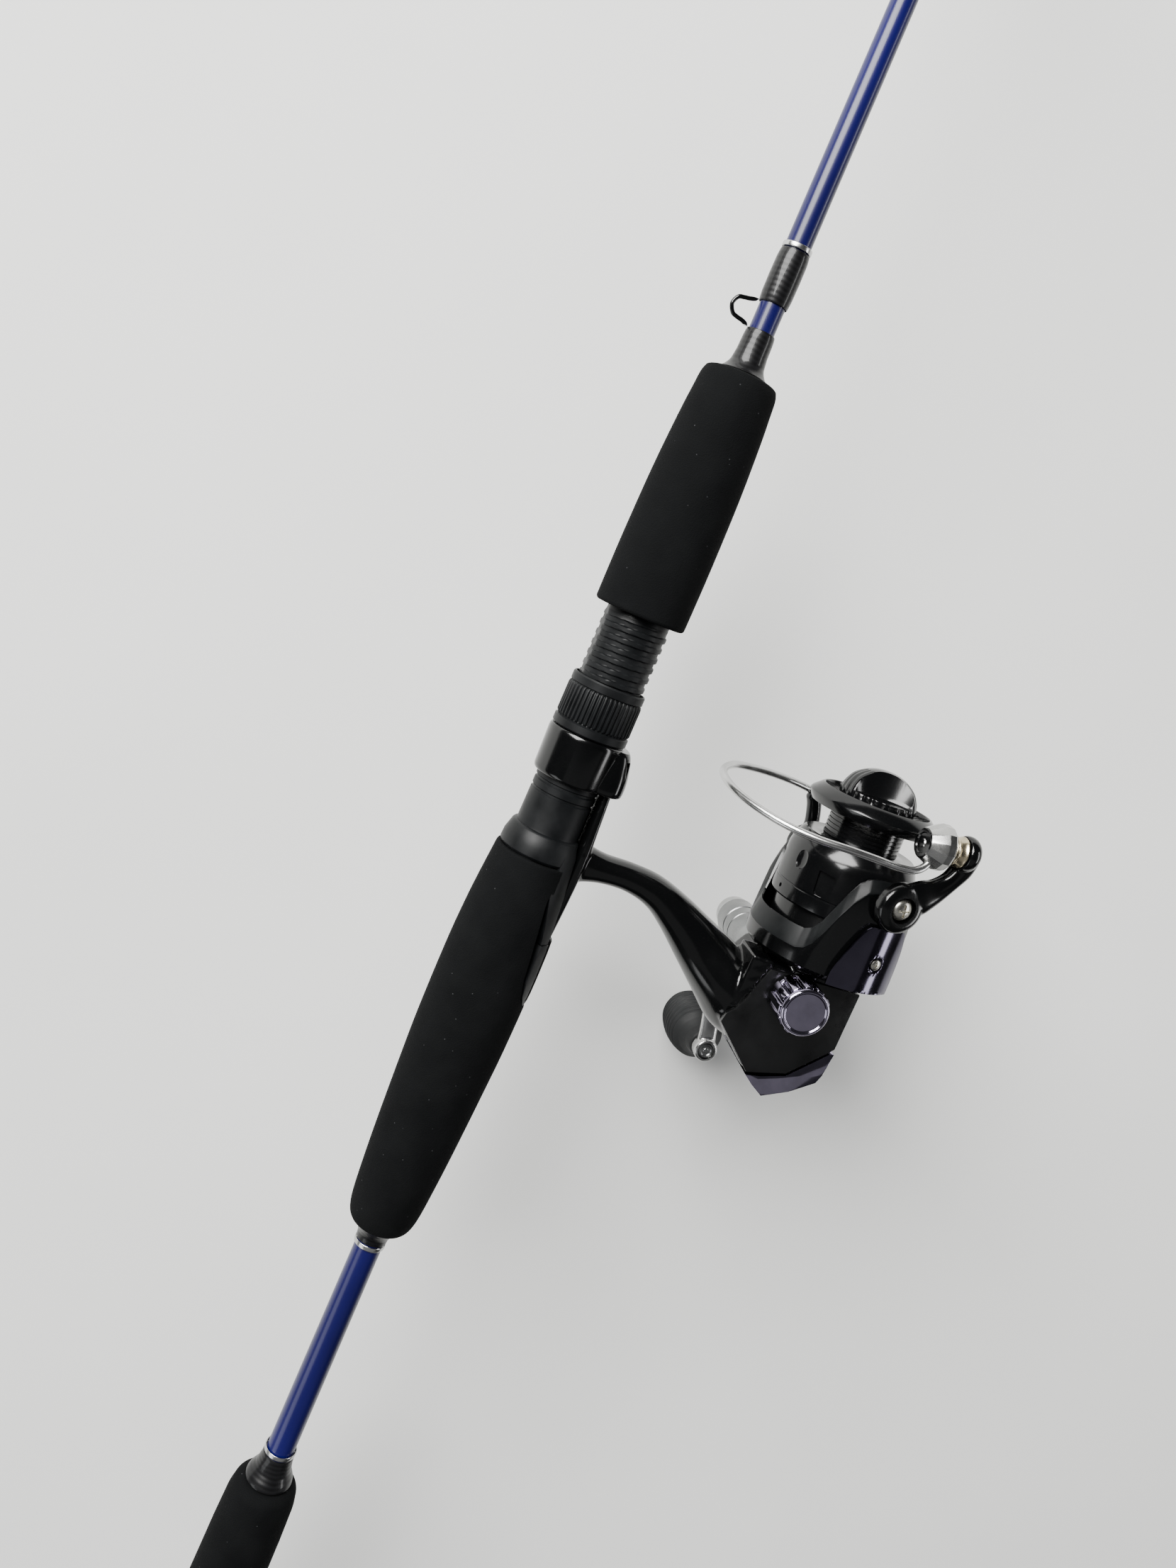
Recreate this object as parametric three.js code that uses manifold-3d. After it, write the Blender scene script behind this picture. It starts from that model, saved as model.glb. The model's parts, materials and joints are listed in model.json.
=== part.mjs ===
// Light spinning rod with a small fixed-spool reel, two-piece blank, all pieces separate.
// Millimetres. +X runs from the butt cap to the tip, the reel hangs towards -Y and the
// handle side of the reel faces -Z. The origin is the middle of the butt cap's end face.
import * as THREE from 'three';
import { mergeVertices } from 'three/addons/utils/BufferGeometryUtils.js';
import Module from 'manifold-3d';

const wasm = await Module();
wasm.setup();

const GAP = 0.3;
const WRAP_GAP = 0.2;

// Blank
const BLANK_START = 6.6;
const BLANK_D0 = 8.93;
const BLANK_TAPER = 0.0051;
const BLANK_WALL = 1.1;
const SPIGOT_END = 742;
const TIP_START = 672;
const TIP_END = 1366;
const SOCKET_DEPTH = 72;

// Grips and reel seat, along X
const BUTT_GRIP_END = 90.2;
const REAR_GRIP_START = 182.2;
const REAR_GRIP_END = 299.6;
const SEAT_START = 254;
const SEAT_END = 374;
const BARREL_R = 8.7;
const THREAD_R = 8.55;
const THREAD_CREST_R = 9.05;
const THREAD_PITCH = 2.8;
const THREAD_START = 335.4;
const THREADS = 11;
const SEAT_BORE_R = 6.4;
const HOOD_BACK = 321.8;
const HOOD_FRONT = 334.6;
const NUT_BACK = 334.9;
const NUT_FRONT = 349.2;
const NUT_RIBS = 24;
const FOREGRIP_START = 368.2;
const FOREGRIP_END = 432.2;
const GRIP_SOCKET_R = 9.95;
const FOREGRIP_SOCKET_R = 9.4;
const HOOD_BORE_R = 9.45;
const HOOD_ROOM = [-12.7, -6, -6.2, 6.2];
const FOOT_POCKET = [-12.6, -8, -6.6, 6.6];
const SADDLE_Y = -8.5;
const THREAD_FLAT_Y = 8.45;

// Trim rings, wraps and the hook keeper, along X
const BUTT_TRIM = [100.5, 101.9];
const REAR_TRIM = [174.4, 175.8];
const FRONT_TRIM = [463.9, 465.1];
const KEEPER_WRAP_START = 450.3;
const KEEPER_WRAP_END = 463.6;
const KEEPER_WIRE_R = 0.55;

// Reel frame: origin where the spool axis passes the crank station, tilted to the rod
const REEL_X = 291;
const REEL_Y = -85.8;
const REEL_TILT = THREE.MathUtils.degToRad(3.4);
const CRANK_Y = 7.8;
const PLATE_Z = 12.3;
const PLATE_TOP = 13.8;
const HOUSING_BOTTOM = -13;
const OSC_AXIS = [-9.5, 1.5];
const OSC_Z = 5.4;
const OSC_THROW = 4.5;
const OSC_TEETH = 24;
const STEP_TEETH = 13;
const GEAR_TEETH = 52;
const PINION_TEETH = 10;
const ARM_TILT = THREE.MathUtils.degToRad(14);
const PIVOT_X = 34.3;
const SKIRT_R = 18.5;
const LIP_R = 18.4;
const ARBOR_R = 10.7;
const ARM_IN_R = 19.1;
const ARM_OUT_R = 22;
const WIRE_R = 1.05;
const GRIP_TURN = THREE.MathUtils.degToRad(-12);
const GRIP_WAIST = 3.2;
const SCOOP_R = 13;
const CUP_R = 20.9;
const SPOOL_SLEEVE_R = 16.4;
const RIM_X = 19.2;
const COVER_TOP_R = ARM_OUT_R + 1.1;
const COVER_SCREW = [16.9, 2.1];

// Gear train: tip and root radii, and heights along the crank axis
const GEAR_R = [8.6, 8.0];
const GEAR_Z = [-5.4, -3.5];
const STEP_R = [3.9, 3.3];
const OSC_R = [7.2, 6.6];
const PINION_R = [3.2, 2.6];
const PINION_BORE_R = 1.75;
const SHAFT_R = 1.4;
const CRANK_SHAFT_R = 2.2;
const CRANK_BORE_R = 2.5;
const CASE_BORE_R = 3.4;

// Crank handle: the knob's axis, and heights along it
const HANDLE_END = [-46.3, 0.6];
const HUB_BOTTOM = -46.6;
const HUB_TOP = -15.8;
const HUB_R = 6.3;
const EYE_TOP = -44.6;
const KNOB_TOP = -49.8;
const KNOB_BOTTOM = -81.6;
const AXLE_R = 1.6;

// Guides: x on the blank, inner ring radius, ring centre height below the blank axis
const GUIDE_LEAN = THREE.MathUtils.degToRad(12);
const GUIDE_WIRE_R = 0.62;
const TIP_RING_LEAN = THREE.MathUtils.degToRad(20);
const GUIDES = [
  { name: 'stripper', x: 612, r: 7.2, h: 22, leg: 17 },
  { name: 'second', x: 868, r: 4.4, h: 13.5, leg: 12 },
  { name: 'third', x: 1062, r: 3.2, h: 9.6, leg: 9 },
  { name: 'fourth', x: 1222, r: 2.5, h: 7.8, leg: 7.5 },
];

const blankR = (x) => (BLANK_D0 - BLANK_TAPER * x) / 2;

function paint(color, roughness, metalness) {
  return new THREE.MeshStandardMaterial({ color, roughness, metalness });
}

const BLUE_BLANK = () => paint(0x1d2472, 0.22, 0.35);
const EVA = () => paint(0x17181a, 0.95, 0);
const GLOSS_BLACK = () => paint(0x0b0c0d, 0.12, 0.05);
const SATIN_BLACK = () => paint(0x222426, 0.45, 0.05);
const EPOXY = () => paint(0x08080a, 0.08, 0);
const CHROME = () => paint(0xd8dadc, 0.12, 1);
const STEEL = () => paint(0xb9bcbf, 0.25, 1);
const DARK_CHROME = () => paint(0x6d6478, 0.14, 0.9);
const BRASS = () => paint(0xb99b5a, 0.35, 0.9);
const RUBBER = () => paint(0x26292c, 0.8, 0);

function signedVolume(geo) {
  const p = geo.attributes.position;
  const i = geo.index.array;
  const a = new THREE.Vector3();
  const b = new THREE.Vector3();
  const c = new THREE.Vector3();
  let v = 0;
  for (let k = 0; k < i.length; k += 3) {
    a.fromBufferAttribute(p, i[k]);
    b.fromBufferAttribute(p, i[k + 1]);
    c.fromBufferAttribute(p, i[k + 2]);
    v += a.dot(b.cross(c)) / 6;
  }
  return v;
}

// Welds the corners, drops flat slivers and turns every face outwards.
function closed(geo) {
  geo.deleteAttribute('normal');
  geo.deleteAttribute('uv');
  const out = mergeVertices(geo, 1e-4);
  const src = out.index.array;
  const keep = [];
  for (let k = 0; k < src.length; k += 3) {
    const [a, b, c] = [src[k], src[k + 1], src[k + 2]];
    if (a !== b && b !== c && a !== c) keep.push(a, b, c);
  }
  out.setIndex(keep);
  if (signedVolume(out) < 0) {
    for (let k = 0; k < keep.length; k += 3) {
      [keep[k + 1], keep[k + 2]] = [keep[k + 2], keep[k + 1]];
    }
    out.setIndex(keep);
  }
  return out;
}

function toSolid(geo) {
  const g = closed(geo);
  return new wasm.Manifold(new wasm.Mesh({
    numProp: 3,
    vertProperties: new Float32Array(g.attributes.position.array),
    triVerts: new Uint32Array(g.index.array),
  }));
}

function toGeometry(solid) {
  const m = solid.getMesh();
  const geo = new THREE.BufferGeometry();
  geo.setAttribute('position', new THREE.BufferAttribute(new Float32Array(m.vertProperties), 3));
  geo.setIndex(Array.from(m.triVerts));
  return geo;
}

function join(...parts) {
  let s = toSolid(parts[0]);
  for (const p of parts.slice(1)) s = s.add(toSolid(p));
  return toGeometry(s);
}

function cut(body, ...tools) {
  let s = toSolid(body);
  for (const t of tools) s = s.subtract(toSolid(t));
  return toGeometry(s);
}

// A body turned about the X axis from [x, radius] points. A profile with a bore closes itself.
function turned(profile, segments = 18) {
  const pts = profile.map(([x, r]) => new THREE.Vector2(r, x));
  const first = pts[0];
  const last = pts[pts.length - 1];
  if (first.x > 0 || last.x > 0) pts.push(first.clone());
  const geo = new THREE.LatheGeometry(pts, segments);
  geo.rotateZ(-Math.PI / 2);
  return closed(geo);
}

function sleeve(x0, x1, inner, outer, segments = 18) {
  return turned([[x0, inner], [x1, inner], [x1, outer], [x0, outer]], segments);
}

function rod(x0, x1, r, segments = 14) {
  return turned([[x0, 0], [x0, r], [x1, r], [x1, 0]], segments);
}

// Points a body made along X the way of `dir`, with its x = 0 at `at`.
function aim(geo, at, dir) {
  const q = new THREE.Quaternion();
  q.setFromUnitVectors(new THREE.Vector3(1, 0, 0), new THREE.Vector3(...dir).normalize());
  geo.applyQuaternion(q);
  geo.translate(...at);
  return geo;
}

function upright(geo, x, y, z = 0) {
  return aim(geo, [x, y, z], [0, 0, 1]);
}

function wire(points, radius, steps, sides = 8, tension = 0.5) {
  const path = new THREE.CatmullRomCurve3(
    points.map((p) => new THREE.Vector3(...p)), false, 'catmullrom', tension);
  const shape = new THREE.Shape();
  for (let k = 0; k < sides; k += 1) {
    const t = (2 * Math.PI * k) / sides;
    const p = [radius * Math.cos(t), radius * Math.sin(t)];
    if (k === 0) shape.moveTo(...p);
    else shape.lineTo(...p);
  }
  shape.closePath();
  return closed(new THREE.ExtrudeGeometry(shape, { steps, extrudePath: path, curveSegments: 1 }));
}

function slab(outline, z0, z1, bevel = 0) {
  const shape = new THREE.Shape(outline.map(([x, y]) => new THREE.Vector2(x, y)));
  const geo = new THREE.ExtrudeGeometry(shape, {
    depth: z1 - z0 - 2 * bevel,
    bevelEnabled: bevel > 0,
    bevelThickness: bevel,
    bevelSize: bevel,
    bevelOffset: -bevel,
    bevelSegments: 1,
    curveSegments: 8,
  });
  geo.translate(0, 0, z0 + bevel);
  return closed(geo);
}

function box(x0, x1, y0, y1, z0, z1) {
  const geo = new THREE.BoxGeometry(x1 - x0, y1 - y0, z1 - z0);
  geo.translate((x0 + x1) / 2, (y0 + y1) / 2, (z0 + z1) / 2);
  return geo;
}

// The outline of a toothed wheel from its tip and root radii.
function toothed([tip, base], teeth, cx, cy) {
  const out = [];
  for (let k = 0; k < 2 * teeth; k += 1) {
    const t = (Math.PI * k) / teeth;
    const r = k % 2 ? base : tip;
    out.push([cx + r * Math.cos(t), cy + r * Math.sin(t)]);
  }
  return out;
}

// Skins a row of rings, each the same number of points, and caps both ends.
function skin(rings) {
  const n = rings[0].length;
  const pos = rings.flat(2);
  const idx = [];
  for (let i = 0; i + 1 < rings.length; i += 1) {
    for (let j = 0; j < n; j += 1) {
      const a = i * n + j;
      const b = i * n + ((j + 1) % n);
      idx.push(a, b, b + n, a, b + n, a + n);
    }
  }
  for (const [row, flip] of [[0, true], [rings.length - 1, false]]) {
    const flat = capFaces(rings[row]);
    for (const [a, b, c] of flat) {
      const o = row * n;
      if (flip) idx.push(o + a, o + c, o + b);
      else idx.push(o + a, o + b, o + c);
    }
  }
  const geo = new THREE.BufferGeometry();
  geo.setAttribute('position', new THREE.BufferAttribute(new Float32Array(pos), 3));
  geo.setIndex(idx);
  return closed(geo);
}

function capFaces(ring) {
  const v = ring.map((p) => new THREE.Vector3(...p));
  const mid = v.reduce((s, p) => s.add(p), new THREE.Vector3()).divideScalar(v.length);
  const normal = new THREE.Vector3();
  for (let k = 0; k < v.length; k += 1) {
    const a = v[k].clone().sub(mid);
    const b = v[(k + 1) % v.length].clone().sub(mid);
    normal.add(a.cross(b));
  }
  normal.normalize();
  const ex = v[0].clone().sub(mid).normalize();
  const ey = normal.clone().cross(ex);
  const flat = v.map((p) => {
    const d = p.clone().sub(mid);
    return new THREE.Vector2(d.dot(ex), d.dot(ey));
  });
  return THREE.ShapeUtils.triangulateShape(flat, []);
}

// A rounded section: centre, the two half axes and a squareness exponent.
function section(centre, half1, half2, count = 16, square = 2.6) {
  const out = [];
  for (let k = 0; k < count; k += 1) {
    const t = (2 * Math.PI * (k + 0.5)) / count;
    const c = Math.cos(t);
    const s = Math.sin(t);
    const u = Math.sign(c) * Math.abs(c) ** (2 / square);
    const w = Math.sign(s) * Math.abs(s) ** (2 / square);
    out.push([0, 1, 2].map((i) => centre[i] + u * half1[i] + w * half2[i]));
  }
  return out;
}

// A curved plate wrapped around the X axis: stations of [x, from angle, to angle].
function wrapped(stations, inner, outer, count = 6) {
  const rings = stations.map(([x, t0, t1]) => {
    const ring = [];
    for (const [r, from, to] of [[outer, t0, t1], [inner, t1, t0]]) {
      for (let k = 0; k <= count; k += 1) {
        const t = THREE.MathUtils.degToRad(from + ((to - from) * k) / count);
        ring.push([x, r * Math.cos(t), r * Math.sin(t)]);
      }
    }
    return ring;
  });
  return skin(rings);
}

const root = new THREE.Group();
root.name = 'spinning_rod_and_reel';
const rodGroup = new THREE.Group();
rodGroup.name = 'rod';
const reelGroup = new THREE.Group();
reelGroup.name = 'reel';
reelGroup.position.set(REEL_X, REEL_Y, 0);
reelGroup.rotation.z = REEL_TILT;
root.add(rodGroup, reelGroup);

function add(group, name, geo, material) {
  const mesh = new THREE.Mesh(geo, material);
  mesh.name = name;
  group.add(mesh);
  return mesh;
}

// ---------------------------------------------------------------- rod handle

function buttPieces() {
  const cap = turned([[0, 0], [0, 10.4], [0.8, 11.4], [6, 11.6], [6, 0]], 20);
  add(rodGroup, 'butt_cap', cap, RUBBER());
  const bore = blankR(0) + GAP;
  const grip = turned([
    [6.3, bore], [6.3, 10.9], [8.5, 11.6], [30, 11.5], [55, 11.0], [72, 10.75], [84, 10.35],
    [88.5, 9.3], [BUTT_GRIP_END, 7.6], [BUTT_GRIP_END, bore],
  ], 20);
  add(rodGroup, 'butt_grip', grip, EVA());
  const wrapBore = blankR(BUTT_GRIP_END) + WRAP_GAP;
  const check = turned([
    [BUTT_GRIP_END + GAP, wrapBore], [BUTT_GRIP_END + GAP, 7.4], [93, 6.3], [97.5, 5.0],
    [100.2, 4.8], [100.2, wrapBore],
  ], 18);
  add(rodGroup, 'butt_grip_check', check, EPOXY());
  add(rodGroup, 'butt_trim_ring', sleeve(...BUTT_TRIM, wrapBore, 4.85, 18), CHROME());
}

function blankPieces() {
  const butt = turned([
    [BLANK_START, blankR(BLANK_START) - BLANK_WALL],
    [BLANK_START, blankR(BLANK_START)],
    [TIP_START - 4, blankR(TIP_START)],
    [TIP_START - 2, blankR(TIP_START) - 0.1],
    [SPIGOT_END, blankR(SPIGOT_END) - 0.35],
    [SPIGOT_END, blankR(SPIGOT_END) - BLANK_WALL - 0.2],
  ], 20);
  add(rodGroup, 'blank_butt_section', butt, BLUE_BLANK());
  const collar = turned([
    [TIP_START - 0.4, 3.75], [TIP_START - 0.4, 4.0], [TIP_START + 1, 4.25],
    [TIP_START + 24, 4.1], [TIP_START + 27, 3.75],
  ], 20);
  add(rodGroup, 'ferrule_wrap', collar, EPOXY());
  const socket = blankR(TIP_START) + 0.15;
  const tip = turned([
    [TIP_START, socket], [TIP_START, 3.45], [TIP_START + 70, 3.2], [TIP_START + 100, 2.72],
    [TIP_END, 0.95], [TIP_END, 0], [TIP_START + SOCKET_DEPTH + 2, 0],
    [TIP_START + SOCKET_DEPTH + 0.5, blankR(SPIGOT_END)],
  ], 20);
  add(rodGroup, 'blank_tip_section', tip, BLUE_BLANK());
}

function rearGripPieces() {
  const bore = blankR(REAR_GRIP_START) + WRAP_GAP;
  add(rodGroup, 'rear_trim_ring', sleeve(...REAR_TRIM, bore, 4.62, 18), CHROME());
  const check = turned([
    [176.1, bore], [176.1, 4.58], [178.5, 4.75], [180.4, 6.2], [REAR_GRIP_START - GAP, 7.4],
    [REAR_GRIP_START - GAP, bore],
  ], 18);
  add(rodGroup, 'rear_grip_check', check, EPOXY());
  const body = turned([
    [REAR_GRIP_START, bore], [REAR_GRIP_START, 8.2], [184, 9.4], [188.7, 10.33], [199.7, 11.18],
    [210.5, 11.81], [221, 12.3], [232, 12.76], [242, 13.13], [252.5, 13.3], [263, 13.33],
    [273, 13.2], [285, 12.65], [298, 11.6], [REAR_GRIP_END, 11.25],
    [REAR_GRIP_END, GRIP_SOCKET_R], [SEAT_START - GAP, GRIP_SOCKET_R], [SEAT_START - GAP, bore],
  ], 20);
  const window = slab([
    [264, -30], [258.6, -14], [262, -9.4], [268, -8.6], [REAR_GRIP_END - 6, -5.2],
    [REAR_GRIP_END - 4, -6.2], [REAR_GRIP_END + 9, -6.2], [REAR_GRIP_END + 9, -30],
  ], -20, 20);
  const hoodRoom = wrapped([[258.6, 132, 228], [279.3, 132, 228]], 9.6, 17, 8);
  add(rodGroup, 'rear_grip', cut(body, window, hoodRoom), EVA());
}

function seatPieces() {
  add(rodGroup, 'seat_arbor',
    sleeve(SEAT_START + 4, SEAT_END - 6, blankR(SEAT_START) + GAP, SEAT_BORE_R - GAP, 20),
    SATIN_BLACK());
  const profile = [[SEAT_START, SEAT_BORE_R], [SEAT_START, 9.65], [300, 9.65], [300, 10.9],
    [306, 9.9], [306.4, 9.1], [312, BARREL_R], [THREAD_START - 2, THREAD_R]];
  for (let k = 0; k < THREADS; k += 1) {
    const x = THREAD_START + k * THREAD_PITCH;
    profile.push([x, THREAD_R], [x + 0.7, THREAD_CREST_R], [x + 1.6, THREAD_CREST_R]);
  }
  profile.push([THREAD_START + THREADS * THREAD_PITCH, THREAD_R], [SEAT_END, THREAD_R],
    [SEAT_END, SEAT_BORE_R]);
  const seat = cut(
    turned(profile, 16),
    box(SEAT_START + 1, THREAD_START, -14, SADDLE_Y, -14, 14),
    box(THREAD_START - 3, SEAT_END + 1, THREAD_FLAT_Y, 12, -14, 14));
  add(rodGroup, 'reel_seat_body', seat, SATIN_BLACK());

  const shell = wrapped([
    [258.9, 150, 210], [260.5, 138, 222], [270, 134, 226], [276.6, 134, 226], [279, 138, 222],
  ], GRIP_SOCKET_R, 13.6, 8);
  const pocket = box(261.2, 282, ...FOOT_POCKET);
  add(rodGroup, 'fixed_hood', cut(shell, pocket), SATIN_BLACK());

  const hoodTube = turned([
    [HOOD_BACK, HOOD_BORE_R], [HOOD_BACK, 10.0], [HOOD_BACK + 2, 10.4], [HOOD_FRONT - 1, 10.6],
    [HOOD_FRONT, 10.3], [HOOD_FRONT, HOOD_BORE_R],
  ], 20);
  const bulge = skin([
    [HOOD_BACK - 0.2, 5.6, 7.4], [HOOD_BACK + 1.2, 6.6, 8.2], [HOOD_BACK + 5, 6.5, 7.9],
    [HOOD_FRONT - 1.5, 4.8, 6.8], [HOOD_FRONT - 0.2, 4.0, 5.8],
  ].map(([x, h, w]) => section([x, -7.9, 0], [0, h, 0], [0, 0, w], 14, 2.8)));
  const hood = cut(join(hoodTube, bulge),
    rod(HOOD_BACK - 2, HOOD_FRONT + 2, HOOD_BORE_R, 20),
    box(HOOD_BACK - 2, HOOD_FRONT - 2.4, ...HOOD_ROOM));
  add(rodGroup, 'sliding_hood', hood, GLOSS_BLACK());
}

function lockNut() {
  const outer = turned([
    [NUT_BACK, HOOD_BORE_R], [NUT_BACK, 10.35], [NUT_BACK + 2.4, 10.35], [NUT_BACK + 2.6, 9.95],
    [NUT_FRONT - 2.8, 9.8], [NUT_FRONT - 2.6, 10.1], [NUT_FRONT, 10.05],
    [NUT_FRONT, HOOD_BORE_R],
  ], 24);
  const crests = slab(toothed([10.3, 9.9], NUT_RIBS, 0, 0), NUT_BACK + 1, NUT_FRONT - 1);
  crests.rotateY(Math.PI / 2);
  const ribbed = cut(join(outer, crests), rod(NUT_BACK - 1, NUT_FRONT + 1, HOOD_BORE_R, 24));
  add(rodGroup, 'lock_nut', ribbed, SATIN_BLACK());
}

function foregripPieces() {
  const bore = blankR(FOREGRIP_START) + GAP;
  const grip = turned([
    [FOREGRIP_START, FOREGRIP_SOCKET_R], [FOREGRIP_START, 11.9], [368.9, 12.28],
    [373, 12.3], [384, 12.28],
    [395, 12.1], [404, 11.86], [412.7, 11.44], [421, 10.9], [425.5, 10.5], [429.7, 10.1],
    [431.7, 9.4], [FOREGRIP_END, 8.4], [FOREGRIP_END, bore], [SEAT_END + GAP, bore],
    [SEAT_END + GAP, FOREGRIP_SOCKET_R],
  ], 20);
  add(rodGroup, 'foregrip', grip, EVA());
  const wrapBore = blankR(FOREGRIP_END) + WRAP_GAP;
  const check = turned([
    [FOREGRIP_END + GAP, wrapBore], [FOREGRIP_END + GAP, 6.8], [434, 5.0], [436.2, 4.1],
    [441.5, 3.95], [443.4, 3.8], [443.4, wrapBore],
  ], 18);
  add(rodGroup, 'foregrip_wrap', check, EPOXY());
  const keeperWrap = turned([
    [KEEPER_WRAP_START, wrapBore], [KEEPER_WRAP_START, 3.8], [452.5, 3.95], [457, 4.05],
    [461.5, 3.95], [KEEPER_WRAP_END, 3.8], [KEEPER_WRAP_END, wrapBore],
  ], 18);
  add(rodGroup, 'keeper_wrap', keeperWrap, EPOXY());
  add(rodGroup, 'front_trim_ring', sleeve(...FRONT_TRIM, wrapBore, 3.85, 18), CHROME());
  const loop = wire([
    [443.9, 4.55, 0], [444.1, 5.6, 0], [444.6, 8.2, 0], [446.8, 9.7, 0], [449.0, 8.6, 0],
    [449.6, 5.9, 0], [449.8, 4.55, 0],
  ], KEEPER_WIRE_R, 14, 6);
  const feet = box(443.8, 449.9, 3.75, 4.75, -0.6, 0.6);
  add(rodGroup, 'hook_keeper', join(loop, feet), SATIN_BLACK());
}

function guide({ name, x, r, h, leg }) {
  const y0 = -(surfaceR(x) + 0.55);
  const wall = 0.9 + r * 0.08;
  const ring = turned([
    [-0.9, r], [0.9, r], [0.9, r + wall], [-0.9, r + wall],
  ], 16);
  const centre = [x + leg, -h, 0];
  const frameRing = turned([
    [-1.3, r + wall + GAP], [1.3, r + wall + GAP], [1.3, r + wall + 1.1], [-1.3, r + wall + 1.1],
  ], 12);
  const rim = r + wall + 0.7;
  const strut = (side) => wire([
    [x + 1, y0, 0.25 * side], [x + leg * 0.45, y0 - (h + y0) * 0.12, rim * 0.35 * side],
    [x + leg * 0.92, -h + rim * 0.35, rim * 0.92 * side],
  ], GUIDE_WIRE_R, 2, 5);
  const back = wire([
    [x + 1, y0 - 0.1, 0], [x + leg * 0.5, y0 - 0.5, 0], [x + leg * 0.9, -h + rim - 0.1, 0],
  ], GUIDE_WIRE_R, 2, 5);
  const foot = box(x - leg * 0.7, x + 2.2, y0 - 0.55, y0 + 0.45, -1.05, 1.05);
  frameRing.rotateZ(GUIDE_LEAN);
  ring.rotateZ(GUIDE_LEAN);
  frameRing.translate(...centre);
  ring.translate(...centre);
  const hole = turned([[-6, 0], [-6, r + wall + GAP], [6, r + wall + GAP], [6, 0]], 12);
  hole.rotateZ(GUIDE_LEAN);
  hole.translate(...centre);
  const frame = cut(join(frameRing, strut(1), strut(-1), back, foot), hole);
  add(rodGroup, `guide_${name}_frame`, frame, STEEL());
  add(rodGroup, `guide_${name}_ring`, ring, GLOSS_BLACK());
  const s = surfaceR(x);
  const wrap = cut(turned([
    [x - leg * 0.7 - 2.5, s + 0.15], [x - leg * 0.7 - 2.5, s + 0.4], [x - leg * 0.7, s + 0.8],
    [x - leg * 0.5, s + 1.9], [x - 1, s + 1.9], [x + 0.8, s + 1.2], [x + 0.8, s + 0.15],
  ], 14), box(x - leg * 0.7 - 0.3, x + 6, y0 - 0.85, y0 + 0.75, -1.35, 1.35));
  add(rodGroup, `guide_${name}_wrap`, wrap, EPOXY());
}

function surfaceR(x) {
  if (x < TIP_START) return blankR(x);
  const x0 = TIP_START + 100;
  return 2.72 + ((0.95 - 2.72) * (x - x0)) / (TIP_END - x0);
}

function tipTop() {
  const tube = turned([
    [TIP_END - 9, 1.25], [TIP_END - 9, 1.6], [TIP_END + 1.6, 1.6], [TIP_END + 1.6, 0],
    [TIP_END + 0.4, 0], [TIP_END + 0.4, 1.25],
  ], 12);
  const ring = turned([[-0.9, 2.1], [0.9, 2.1], [0.9, 3.3], [-0.9, 3.3]], 16);
  ring.rotateZ(TIP_RING_LEAN);
  ring.translate(TIP_END + 2.6, -4.6, 0);
  const strut = (side) => wire([
    [TIP_END - 4.5, -1.3, 0.6 * side], [TIP_END - 1.5, -3, 2 * side],
    [TIP_END + 2, -5, 2.75 * side],
  ], 0.5, 3, 6);
  add(rodGroup, 'tip_top', join(tube, ring, strut(1), strut(-1)), STEEL());
}

// ---------------------------------------------------------------- reel body

function intoReel(geo) {
  geo.translate(-REEL_X, -REEL_Y, 0);
  geo.rotateZ(-REEL_TILT);
  return geo;
}

const HOUSING = [
  [-25.4, 11.9], [-22.7, 0.3], [-13.2, -9.6], [-12.2, -10.9], [6.2, -11.6], [6.2, 16.4],
  [-3, 22], [-13, 24.5],
];
const REAR = [
  [-30.9, 4.8], [-27.6, -2.5], [-23, -9], [-20.4, -10], [-13.4, -10.9], [-13.7, -9.6],
  [-23.2, 0.1], [-25.9, 11.6],
];

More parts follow.
